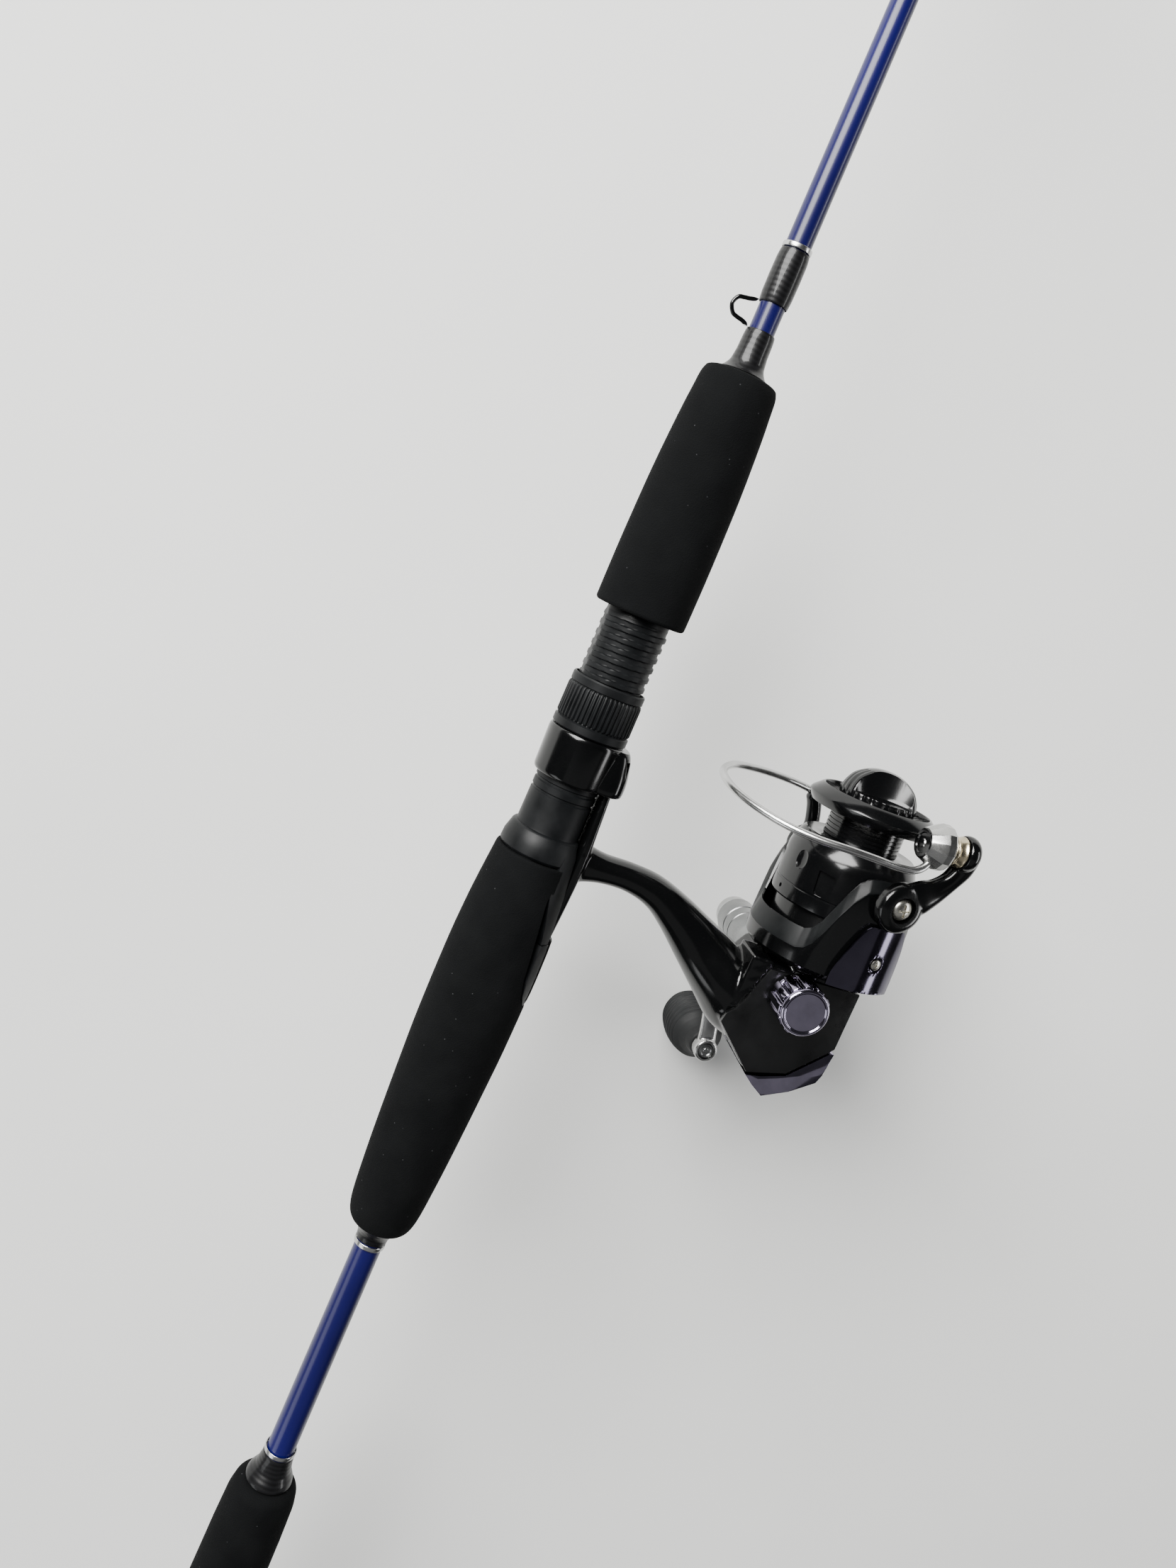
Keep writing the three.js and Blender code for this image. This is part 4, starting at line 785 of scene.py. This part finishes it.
def body():
    rod_to_reel = TO_REEL @ ROD
    stem, foot = stem_and_foot()
    housing = [(-25.4, 11.9), (-24.6, 8.0), (-22.7, 0.3), (-13.2, -9.6), (-12.2, -10.9),
               (6.2, -11.6), (6.2, 16.2), (-3, 21.8), (-13, 24.2)]
    neck = [(5.5, 0), (5.5, 14.8), (7.4, 14.8), (7.4, 14.2), (12.8, 14.2), (12.8, 0)]
    boss = [(HOUSING_BOTTOM - 2.2, 0), (HOUSING_BOTTOM - 2.2, 6.6), (HOUSING_BOTTOM - 1.6, 7.4),
            (HOUSING_BOTTOM + 3, 7.9), (HOUSING_BOTTOM + 3, 0)]
    case = mesh_object("case", prism(housing, HOUSING_BOTTOM, PLATE_Z - 0.3))
    bevelled(case, 1.4, 5, 30)
    case_shape = ([tuple(v.co) for v in case.data.vertices],
                  [tuple(p.vertices) for p in case.data.polygons])
    bpy.data.objects.remove(case)
    flank = skin([[(cx, cy, 13.5), (rx, ry, 12.3), (rx, ry, 0), (cx, cy, 0)] for cx, cy, rx, ry in
                  [(7.2, 15.6, 7.2, 21.7), (3.0, 16.9, 3.6, 21.8), (0.5, 17.8, 0.0, 22.0),
                   (-4.5, 19.7, -5.0, 22.3), (-8.2, 21.3, -8.4, 22.9)]])
    shapes = [moved(stem, rod_to_reel), moved(foot, rod_to_reel), flank, case_shape,
              revolve(neck, 72), moved(revolve(boss, 72), upright(0, CRANK_Y))]
    obj = fused("reel_body_shell", shapes, 0.42, 7)
    hole = bar(HOUSING_BOTTOM - 4, HOUSING_BOTTOM + 4, 3.4, 48)
    carved(obj, moved(hole, upright(0, CRANK_Y)), bar(3, 20, 3.7, 48))
    finish_piece(obj, REEL, "rod_handle", GLOSS, ["reel_body"], 45)


def covers():
    outline = [(-25.2, 11.6), (-24.3, 7.6), (-22.6, 0.4), (-13.1, -9.4), (-12.0, -10.4),
               (5.2, -11.0), (5.2, 16.2), (0.5, 17.9), (-4.5, 19.6), (-8.2, 21.4),
               (-10.2, 23.4), (-13.0, 24.0)]
    plate = mesh_object("side_plate_cover", prism(outline, PLATE_Z, PLATE_TOP))
    bevelled(plate, 0.16, 2, 30)
    collar = [(PLATE_TOP - 0.4, 3.5), (PLATE_TOP - 0.4, 5.0), (PLATE_TOP + 0.9, 4.9),
              (PLATE_TOP + 0.9, 3.5)]
    combined(plate, [moved(revolve(rounded(collar, 0.3), 64), upright(0, CRANK_Y))], "UNION")
    carved(plate, moved(bar(8, 18, 3.45, 48), upright(0, CRANK_Y)))
    finish_piece(plate, REEL, "rod_handle", PLATE, ["side_plate"])
    rear = [(-30.9, 4.8), (-27.6, -2.5), (-23, -9), (-20.4, -10), (-13.4, -10.9),
            (-13.7, -9.6), (-23.2, 0.1), (-25.3, 7.2), (-25.9, 11.6), (-28.4, 8.6)]
    cap = mesh_object("rear_cover", prism(rear, HOUSING_BOTTOM, PLATE_TOP))
    bevelled(cap, 0.14, 2, 25)
    finish_piece(cap, REEL, "rod_handle", VIOLET, ["rear_cap"])


def screw_cap():
    """The knurled cap: a drum with deep flutes, a rim and a mirror disc."""
    flutes = 12
    outline = []
    for k in range(flutes):
        for share, r in [(0.0, 7.0), (0.12, 7.08), (0.46, 7.08), (0.58, 7.0), (0.66, 6.35),
                         (0.72, 6.1), (0.86, 6.1), (0.92, 6.35)]:
            t = 2 * math.pi * (k + share) / flutes
            outline.append((r * math.cos(t), r * math.sin(t)))
    drum = mesh_object("crank_screw_cap", prism(outline, 15.6, 24.7))
    bevelled(drum, 0.28, 3, 30)
    rim = [(24.2, 0), (24.2, 6.2), (24.9, 6.75), (25.5, 6.7), (26.0, 6.25), (26.0, 5.75),
           (25.55, 5.45), (25.6, 3.0), (25.66, 0)]
    skirt = [(15.2, 2.4), (15.2, 6.3), (15.9, 6.6), (16.6, 6.3), (16.6, 2.4)]
    at = upright(0, 0)
    combined(drum, [moved(revolve(rounded(rim, 0.25), 96), at),
                    moved(revolve(rounded(skirt, 0.2), 96), at)], "UNION")
    carved(drum, moved(bar(14, 22, 2.5, 40), at))
    drum.data.transform(Matrix.Translation((0, CRANK_Y, 0)))
    finish_piece(drum, REEL, "crank", VIOLET, ["handle_screw_cap"], 28)


# ------------------------------------------------------------------ rotor and bail

# the rim's angle off the arm, upper edge and lower edge
RIM = [(0, 39.4, 35.6), (12, 39.2, 35.6), (20, 38.6, 34.6), (27, 36.4, 31.0), (33, 32.2, 26.0),
       (38, 27.6, 20.8), (43, 23.0, 16.6), (48, 20.4, 14.4), (54, 19.3, 13.5), (90, 19.1, 13.4)]
COVER_SCREW = (16.9, 2.1)
COVER_R = 23.05
WIRE_R = 1.04


def rim_at(degrees):
    """Upper and lower edge of the rotor's rim at an angle about the spool axis."""
    off = abs((degrees - ARM_DEG + 90) % 180 - 90)
    offs, uppers, lowers = zip(*RIM)
    return float(np.interp(off, offs, uppers)), float(np.interp(off, offs, lowers))


def rotor_shell():
    segs = 360
    verts, faces = [], []
    fixed_in = [(8.0, 14.9), (8.0, 18.6), (8.6, 19.8), (9.8, 20.8)]
    hub = [(12.4, 18.6), (11.6, 17.6), (11.8, 16.6), (12.6, 16.4), (31.4, 16.4), (32.4, 16.1),
           (33, 15.4), (33, 3.1), (31, 3.1), (31, 14.9)]
    for k in range(segs):
        degrees = 360 * k / segs
        upper, lower = rim_at(degrees)
        wide = min(max((upper - 20) / 12, 0), 1)
        out = 20.95 + 0.95 * wide
        crest = 19.7 + 0.6 * wide
        outer = [(9.8 + (lower - 0.5 - 9.8) * t, 20.8 + (out - 20.8) * t) for t in (0.34, 0.67, 1.0)]
        band = [(lower + 0.3, out - 0.02), (lower + 0.9, out - 0.16), (upper - 0.5, crest + 0.12),
                (upper, crest - 0.1), (upper, 19.25), (upper - 0.4, 19.1)]
        inner = [(12.9 + (upper - 0.4 - 12.9) * t, 19.05) for t in (0.66, 0.33, 0.0)]
        for x, r in fixed_in + outer + band + inner + hub:
            verts.append(polar(x, r, degrees))
    n = len(verts) // segs
    for k in range(segs):
        a, b = k * n, (k + 1) % segs * n
        for i in range(n):
            j = (i + 1) % n
            faces.append((a + i, a + j, b + j, b + i))
    return (verts, faces), len(fixed_in) + 3, n


def rotor():
    shape, first, n = rotor_shell()
    obj = mesh_object("rotor_shell", shape)
    banded = []
    for p in obj.data.polygons:
        rows = sorted(v % n for v in p.vertices)
        banded.append(rows[0] >= first and rows[-1] <= first + 3)
    finish_piece(obj, REEL, "rotor", GLOSS, ["rotor"], 30)
    obj.data.materials.append(BAND)
    for p in obj.data.polygons:
        p.material_index = 1 if banded[p.index] else 0

    at = axis_frame(on_arm(*COVER_SCREW, 0), ARM_OUT)
    for name, centre, node_name in (("near_arm_cover", ARM_DEG, "rotor_arm_cover"),
                                    ("off_arm_cover", ARM_DEG + 180, "far_arm_cover")):
        edge = catmull([(8.4, -25, 30), (12, -25, 30), (16, -22.6, 29.4), (20, -19.2, 28),
                        (23, -16.2, 26), (25.6, -12.8, 23.4), (27.1, -9, 20)], 3)
        stations = [(x, centre + a, centre + b, COVER_R) for x, a, b in edge]
        plate = mesh_object(name, wrapped(stations, 22.2, 40))
        if centre == ARM_DEG:
            pit = [(20, 0), (20, 1.75), (22.4, 1.75), (22.5, 2.1), (22.8, 2.4), (25, 2.7), (25, 0)]
            carved(plate, moved(revolve(pit, 64), at))
        bevelled(plate, 0.22, 3, 35)
        finish_piece(plate, REEL, "rotor", VIOLET_DARK, [node_name])

    head = [(22.35, 0), (22.35, 1.5), (22.8, 1.5), (23.0, 1.25), (23.08, 0.7), (23.1, 0)]
    screw = mesh_object("cover_screw", moved(revolve(head, 40), at))
    carved(screw, *cross_slot(at, 22.75, 0.17, 0.8))
    finish_piece(screw, REEL, "rotor", SCREW, ["arm_cover_screw"])


def cross_slot(at, depth, half, reach):
    """Two crossed bars that cut a cross recess into a screw head."""
    out = []
    for turn in (0.4, 0.4 + math.pi / 2):
        spin = Matrix.Rotation(turn, 4, "X")
        blade = prism([(depth, -half), (depth + 4, -half), (depth + 4, half), (depth, half)],
                      -reach, reach)
        out.append(moved(blade, at @ spin))
    return out


def bail_arm():
    ahead = Vector((1, 0, 0))
    rings = []
    for x, t, n, f, s, w, h in [
            (34.6, 0.2, 24.9, 0.5, -1, 6.3, 1.9), (36.8, 2.2, 24.9, 0.6, -1, 5.9, 1.9),
            (38.8, 5.4, 25.0, 0.8, -0.6, 4.9, 2.0), (41.2, 8.7, 25.0, 0.75, -0.7, 3.7, 2.1),
            (44.6, 11.5, 25.3, 0.58, -0.81, 2.85, 2.3), (48.4, 13.4, 25.6, 0.3, -0.95, 3.0, 2.7),
            (51.6, 13.8, 26.0, 0.05, -1, 3.0, 2.9)]:
        across = (ahead * f + ARM_SIDE * s).normalized()
        rings.append(section(on_arm(x, t, n), across * w, ARM_OUT * h, 40, 2.4))
    lever = smooth_skin(rings, 8)
    pivot = axis_frame((PIVOT_X, 0, 0), ARM_OUT)
    boss = moved(revolve([(22.95, 0), (22.95, 6.5), (23.4, 6.95), (25.4, 6.95), (26.3, 6.5),
                          (26.8, 5.5), (26.9, 4.6), (26.9, 0)], 72), pivot)
    end = axis_frame(ROLLER_AT, ROLLER_DIR)
    knuckle = moved(revolve([(-2.1, 0), (-2.05, 2.2), (-1.75, 3.2), (-1.1, 4.1), (-0.2, 4.65),
                             (0.8, 4.85), (1.7, 4.75), (2.3, 4.4), (2.3, 0)], 56), end)
    obj = fused("bail_arm_lever", [lever, boss, knuckle], 0.26, 5)
    room = revolve([(2.2, 0), (2.2, 4.75), (6, 4.9), (7, 6.6), (20, 6.6), (20, 0)], 64)
    carved(obj, moved(room, end),
           moved(revolve([(25.0, 0), (25.0, 3.6), (29, 3.75), (29, 0)], 64), pivot),
           moved(bar(20, 25.4, 1.75, 40), pivot))
    finish_piece(obj, REEL, "bail", GLOSS, ["bail_arm"], 40)
    head = [(19.4, 0), (19.4, 1.2), (25.3, 1.2), (25.3, 3.0), (25.7, 3.1), (26.2, 2.95),
            (26.8, 2.3), (27.15, 1.2), (27.25, 0)]
    screw = mesh_object("bail_pivot_screw", moved(revolve(head, 56), pivot))
    carved(screw, *cross_slot(pivot, 26.35, 0.32, 1.75))
    finish_piece(screw, REEL, "bail", SCREW, ["bail_arm_screw"])


def bail_far():
    pivot = axis_frame((PIVOT_X, 0, 0), -ARM_OUT)
    boss = moved(revolve([(22.9, 0), (22.9, 5.0), (23.3, 5.4), (24.8, 5.4), (25.5, 4.9),
                          (25.8, 4.2), (25.8, 0)], 64), pivot)
    lever = tube([on_arm(35, 0, -24.2), on_arm(38, 0.3, -24.3), on_arm(41, 0.2, -24.2),
                  on_arm(46, -1.6, -23.8), on_arm(48.9, -3.4, -23.4)], 2.2, 28, 8)
    stud = moved(bar(19.6, 24, 1.2, 32), pivot)
    obj = fused("bail_far_lever", [boss, lever, stud], 0.26, 4)
    finish_piece(obj, REEL, "bail", GLOSS, ["bail_lever_far"], 40)


def bail_wire():
    path = [(49.6, -8.0, 24.8), (47.3, -6.9, 26.0), (45.5, -3.6, 27.1), (45.3, 2.0, 28.0),
            (45.7, 7.5, 28.8), (46.0, 15.5, 29.2), (45.8, 24.7, 27.3), (46.3, 33.6, 22.4),
            (47.8, 41.4, 14.5), (49.4, 44.8, 7.0), (51.0, 44.9, 0.5), (52.2, 40.6, -6.3),
            (52.3, 34.0, -11.2), (51.9, 25.5, -16.0), (51.1, 17.5, -20.0), (50.2, 11.4, -22.4),
            (49.7, 9.6, -23.2)]
    piece("bail_loop", tube(path, WIRE_R, 28, 12), REEL, "bail", CHROME,
          ["bail_wire"])
    end = axis_frame(ROLLER_AT, ROLLER_DIR)
    facets = 14

    def faceted(x, r, angle):
        if not 7.2 < x < 13.8 or r < 3:
            return r
        step = 2 * math.pi / facets
        off = (angle + step / 2) % step - step / 2
        return r * math.cos(step / 2) / math.cos(off)

    cone = [(6.2, 0), (6.2, 3.9), (6.5, 4.6), (7.6, 5.95), (8.1, 6.2), (9.9, 6.2), (10.3, 6.05),
            (13.4, 4.5), (14.1, 4.05), (14.4, 3.7), (14.4, 2.9), (14.1, 2.6), (14.1, 1.2),
            (14.4, 1.0), (14.4, 0)]
    pin = bar(0.6, 7, 1.2, 32)
    shape = moved(merged(revolve(cone, 112, faceted), pin), end)
    cone_obj = piece("bail_cone_faceted", shape, REEL, "bail", CONE,
                     ["bail_cone"], 14)
    cone_obj.data.materials.append(GLOSS)
    axis = (REEL.to_3x3() @ ROLLER_DIR).normalized()
    face_at = (REEL @ (ROLLER_AT + ROLLER_DIR * 13.9)).dot(axis)
    for p in cone_obj.data.polygons:
        if p.center.dot(axis) > face_at and p.normal.dot(axis) > 0.6:
            p.material_index = 1
    roller = [(2.6, 1.6), (2.6, 4.0), (2.75, 4.2), (3.05, 4.2), (3.3, 4.0), (3.8, 3.72),
              (4.7, 3.7), (5.15, 4.0), (5.35, 4.1), (5.6, 4.1), (5.8, 3.9), (5.8, 1.6)]
    piece("roller", moved(revolve(roller, 72), end), REEL, "line_roller", BRASS,
          ["line_roller"])


# ------------------------------------------------------------------ spool and drag

PORTS = 5
CLICK_RIBS = 60
GRIP_DEG = -12


def spool():
    outline = [(23.4, 17.3), (23.4, 18.0), (23.9, 18.4), (25, 18.5), (27.6, 18.48), (27.8, 18.3),
               (28.1, 18.3), (28.3, 18.45), (37.4, 18.2), (39.2, 17.8), (40.5, 17.3),
               (42.4, 16.3), (43.0, 15.85), (43.2, 15.4), (42.95, 13), (42.9, 11.6)]
    ribs = 6
    for k in range(ribs):
        x = 43.3 + k * 1.18
        outline += [(x, 10.35), (x + 0.12, 10.7), (x + 0.9, 10.7), (x + 1.0, 10.35)]
    outline += [(50.4, 11.6), (50.6, 15.8), (50.9, 17.0), (51.6, 17.5), (52.9, 18.25),
                (53.4, 18.38), (54.0, 18.1), (55.6, 16.3), (56.1, 15.75), (56.3, 15.4),
                (56.2, 15.1), (55.5, 14.9), (54.0, 14.8), (53.9, 11.0), (52.6, 11.0),
                (52.6, 1.75), (46.5, 1.75), (46.5, 4.4), (50.9, 4.4), (50.9, 9.2), (42.2, 9.2),
                (40.4, 12.5), (39.4, 15.5), (37.2, 16.9)]
    obj = mesh_object("spool_body", revolve(outline, 160))
    tools = []
    for k in range(PORTS):
        turn = Matrix.Rotation(math.radians(k * 360 / PORTS), 4, "X")
        port = [(35.0, 42.5), (35.2, 44), (34.9, 57), (34.2, 58.5), (28.9, 53.5), (28.4, 52),
                (28.5, 45.8), (29.2, 44.2)]
        wedge = skin([[polar(x, deep - 0.055 * (x - 28), t) for x, t in port]
                      for deep in (17.75, 21)])
        tools.append(moved(wedge, turn))
        dimple = section((35.6, 0, 0), (2.9, 0, 0), (0, 2.1, 0), 32, 2.0)
        centre = 21.5
        rings = []
        for r, grow in ((17.62, 0.55), (18.0, 0.9), (19.5, 1.35)):
            rings.append([polar(35.4 + (p[0] - 35.6) * grow, r,
                                centre + math.degrees(p[1] * grow / r)) for p in dimple])
        tools.append(moved(skin(rings), turn))
        hole = moved(bar(14.8, 20, 0.62, 24), axis_frame((25.9, 0, 0), polar(0, 1, 8)))
        tools.append(moved(hole, turn))
    carved(obj, merged(*tools))
    finish_piece(obj, REEL, "spool", SPOOL_BLACK, ["spool"], 28)
    fins = []
    for k in range(CLICK_RIBS):
        turn = Matrix.Rotation(2 * math.pi * k / CLICK_RIBS, 4, "X")
        fins.append(moved(prism([(53.7, 11.5), (54.35, 11.5), (55.3, 14.9), (53.7, 14.9)],
                                -0.2, 0.2), turn))
    piece("spool_click_ribs", merged(*fins), REEL, "spool", SPOOL_BLACK)


def drag_knob():
    base, top = 54.35, 64.8
    dome = [(base, 0), (base, 10.4), (base + 0.5, 10.75)]
    dome += [(x, r) for x, r in catmull([(base + 0.5, 10.75), (base + 2.0, 10.8),
                                         (base + 3.4, 10.6), (base + 5.2, 9.9), (base + 7.2, 8.6),
                                         (base + 9.0, 6.1), (base + 10.0, 3.7), (top - 0.1, 1.8)],
                                        5)[1:]]
    dome.append((top, 0))

    def fluted(x, r, angle):
        if x < base + 0.8 or r < 6:
            return r
        swirl = 24 * angle + 0.35 * (x - base)
        return r - 0.34 * (0.5 + 0.5 * math.cos(swirl)) ** 2 * min((x - base - 0.8) / 1.2, 1)

    obj = mesh_object("drag_cap", revolve(dome, 208, fluted))
    scoops = []
    for side in (1, -1):
        bowl = revolve([(57.3, 0), (57.3, 12.3), (57.6, 12.8), (58.6, 13.1), (70, 14.3), (70, 0)],
                       120)
        away = polar(0, side * 16.2, GRIP_DEG + 90)
        scoops.append(moved(bowl, Matrix.Translation(away)))
    carved(obj, *scoops, bar(52, 57.6, 1.75, 32))
    bevelled(obj, 0.45, 3, 38)
    finish_piece(obj, REEL, "drag_knob", SPOOL_BLACK, ["drag_knob"], 40)


# ------------------------------------------------------------------ crank handle


def crank():
    at = upright(0, CRANK_Y)
    hub = [(-46.6, 2.5), (-46.6, 5.4), (-46.2, 6.0), (-45.4, 6.3), (-38.5, 6.3), (-38.3, 5.95),
           (-37.8, 5.95), (-37.6, 6.3), (-33.2, 6.3), (-33.0, 6.1), (-32.7, 6.1), (-32.5, 6.3),
           (-24.8, 6.3), (-24.2, 6.1), (-22.2, 5.3), (-21.4, 5.15), (-18.8, 5.15), (-18.2, 5.5),
           (-17.4, 6.5), (-16.9, 6.6), (-16.1, 6.6), (-15.8, 6.3), (-15.8, 2.5)]
    piece("crank_hub", moved(revolve(hub, 112), at), REEL, "crank", SATIN_STEEL,
          ["handle_hub"])
    ex, ey = KNOB_XY
    knob_at = upright(ex, ey)
    run = Vector((ex, ey - CRANK_Y))
    length = run.length
    along = run / length
    side = Vector((-along.y, along.x))
    rings = []
    for d, w, h, z in [(1.5, 4.7, 1.9, -48.9), (9, 4.0, 1.85, -49), (20, 3.3, 1.8, -49.2),
                       (32, 3.0, 1.75, -48.6), (length - 7, 2.9, 1.75, -47.7),
                       (length - 2, 3.1, 1.75, -47.3), (length, 3.2, 1.75, -47.2)]:
        centre = (along.x * d, CRANK_Y + along.y * d, z)
        rings.append(section(centre, (side.x * w, side.y * w, 0), (0, 0, h), 40, 2.7))
    root = moved(revolve([(-51.2, 0), (-51.2, 4.4), (-50.7, 5.3), (-49.8, 5.6), (-47.4, 5.6),
                          (-46.9, 5.2), (-46.9, 0)], 64), at)
    eye = moved(revolve([(-49.4, 0), (-49.4, 3.4), (-48.8, 4.0), (-45.6, 4.0), (-44.9, 3.7),
                         (-44.6, 3.2), (-44.6, 0)], 64), knob_at)
    obj = fused("crank_arm", [smooth_skin(rings, 8), root, eye], 0.24, 5)
    carved(obj, moved(bar(-60, -40, 2.0, 40), knob_at),
           moved(bar(-46.3, -40, 2.95, 48), knob_at),
           moved(bar(-48, -40, 2.5, 40), at))
    finish_piece(obj, REEL, "crank", CHROME, ["handle_arm"], 35)
    axle = [(-78, 0), (-78, 1.6), (-46.2, 1.6), (-46.2, 2.5), (-45.5, 2.6), (-45.1, 2.3),
            (-45.0, 1.8), (-45.25, 1.5), (-45.2, 0.9), (-45.05, 0.7), (-45.0, 0)]
    piece("knob_pin", moved(revolve(axle, 48), knob_at), REEL, "crank",
          SATIN_STEEL, ["knob_axle"])
    outline = [(-49.8, 2.1), (-49.8, 3.9), (-50.2, 4.4), (-51.6, 4.8), (-53.4, 5.1),
               (-54.4, 5.7), (-56, 6.9)]
    for z in (-58.2, -60.2, -62.2, -64.2, -66.2, -68.2, -70.2, -72.2):
        bulge = 9.65 * math.sqrt(max(1 - ((z + 66) / 17.5) ** 2, 0.05))
        outline += [(z + 0.7, bulge), (z + 0.4, bulge - 0.75), (z - 0.4, bulge - 0.75),
                    (z - 0.7, bulge)]
    outline += [(-75, 8.05), (-77.6, 6.6), (-79.8, 4.6), (-81.1, 2.6), (-81.6, 0), (-79, 0),
                (-79, 2.1)]
    piece("crank_grip", moved(revolve(rounded(outline, 0.3, 3), 112), knob_at), REEL,
          "crank_knob", RUBBER, ["handle_knob"], 50)


def hidden_works():
    """The pieces inside keep their shapes and get real finishes."""
    looks = {"drive_gear": BRASS, "pinion_gear": BRASS, "oscillation_gear": BRASS,
             "rotor_nut": BRASS, "pinion_bearing": SATIN_STEEL, "oscillation_slider": SATIN_STEEL,
             "main_shaft": CHROME}
    for name, look in looks.items():
        mesh = frame["nodes"][name].data
        mesh.materials.clear()
        mesh.materials.append(look)


# ------------------------------------------------------------------ stage, light, camera

CAMERA_AT = (0.379823, 0.065981, 0.308401)
CAMERA_RIGHT = (0.39187, -0.90976, 0.13701)
CAMERA_UP = (0.90238, 0.35105, -0.24996)
LENS_MM = 27.79
SENSOR_MM = 36.0


def backdrop_cloth():
    mat, tree, bsdf = shader("pale_floor", (0.74, 0.745, 0.73), 0.9, spec=0.2)
    tree.links.new(mixed(tree, noise(tree, 160, 3), (0.72, 0.724, 0.712), (0.76, 0.762, 0.748)),
                   bsdf.inputs["Base Color"])
    return mat


def stage():
    floor_z = CAD_BOX[0][2]
    mesh = bpy.data.meshes.new("floor")
    reach = 6.0
    mesh.from_pydata([(-reach, -reach, floor_z), (reach, -reach, floor_z), (reach, reach, floor_z),
                      (-reach, reach, floor_z)], [], [(0, 1, 2, 3)])
    floor = bpy.data.objects.new("floor", mesh)
    bpy.context.scene.collection.objects.link(floor)
    mesh.materials.append(backdrop_cloth())


def area_light(name, at, target, size, power, color=(1, 1, 1), size_y=None):
    data = bpy.data.lights.new(name, "AREA")
    data.energy = power
    data.color = color
    data.shape = "RECTANGLE" if size_y else "SQUARE"
    data.size = size
    if size_y:
        data.size_y = size_y
    obj = bpy.data.objects.new(name, data)
    obj.location = at
    obj.rotation_euler = (Vector(target) - Vector(at)).to_track_quat("-Z", "Y").to_euler()
    bpy.context.scene.collection.objects.link(obj)


def lights():
    world = bpy.data.worlds.new("studio")
    bpy.context.scene.world = world
    world.use_nodes = True
    world.node_tree.nodes["Background"].inputs["Color"].default_value = (0.95, 0.97, 1.0, 1)
    world.node_tree.nodes["Background"].inputs["Strength"].default_value = 0.05
    middle = (0.34, -0.02, 0.0)
    area_light("key", (1.15, 0.88, 0.98), middle, 1.05, 98, (1, 0.995, 0.98))
    area_light("window", (-0.85, 1.15, 0.75), middle, 1.0, 7, (0.97, 0.99, 1), 0.7)
    area_light("strip", (0.6, -1.7, 0.7), middle, 1.5, 12, (1, 1, 1), 0.3)
    area_light("ceiling", (-0.86, -0.5, 1.5), (-0.86, -0.5, 0), 1.7, 3, (1, 1, 1), 2.6)


def camera():
    right, up = Vector(CAMERA_RIGHT), Vector(CAMERA_UP)
    back = right.cross(up).normalized()
    data = bpy.data.cameras.new("camera")
    data.sensor_fit = "VERTICAL"
    data.sensor_height = SENSOR_MM
    data.lens = LENS_MM
    data.clip_start = 0.01
    data.clip_end = 50
    obj = bpy.data.objects.new("camera", data)
    turn = Matrix((right, up, back)).transposed().to_4x4()
    obj.matrix_world = Matrix.Translation(CAMERA_AT) @ turn
    bpy.context.scene.collection.objects.link(obj)
    bpy.context.scene.camera = obj


camera()
blanks()
grips()
wraps_and_trim()
reel_seat()
hood_and_nut()
keeper()
guide("stripper", 612, 7.2, 22, 17, "rod_handle")
guide("second", 868, 4.4, 13.5, 12, "rod_tip")
guide("third", 1062, 3.2, 9.6, 9, "rod_tip")
guide("fourth", 1222, 2.5, 7.8, 7.5, "rod_tip")
tip_top()
body()
covers()
screw_cap()
rotor()
bail_arm()
bail_far()
bail_wire()
spool()
drag_knob()
crank()
hidden_works()
stage()
lights()
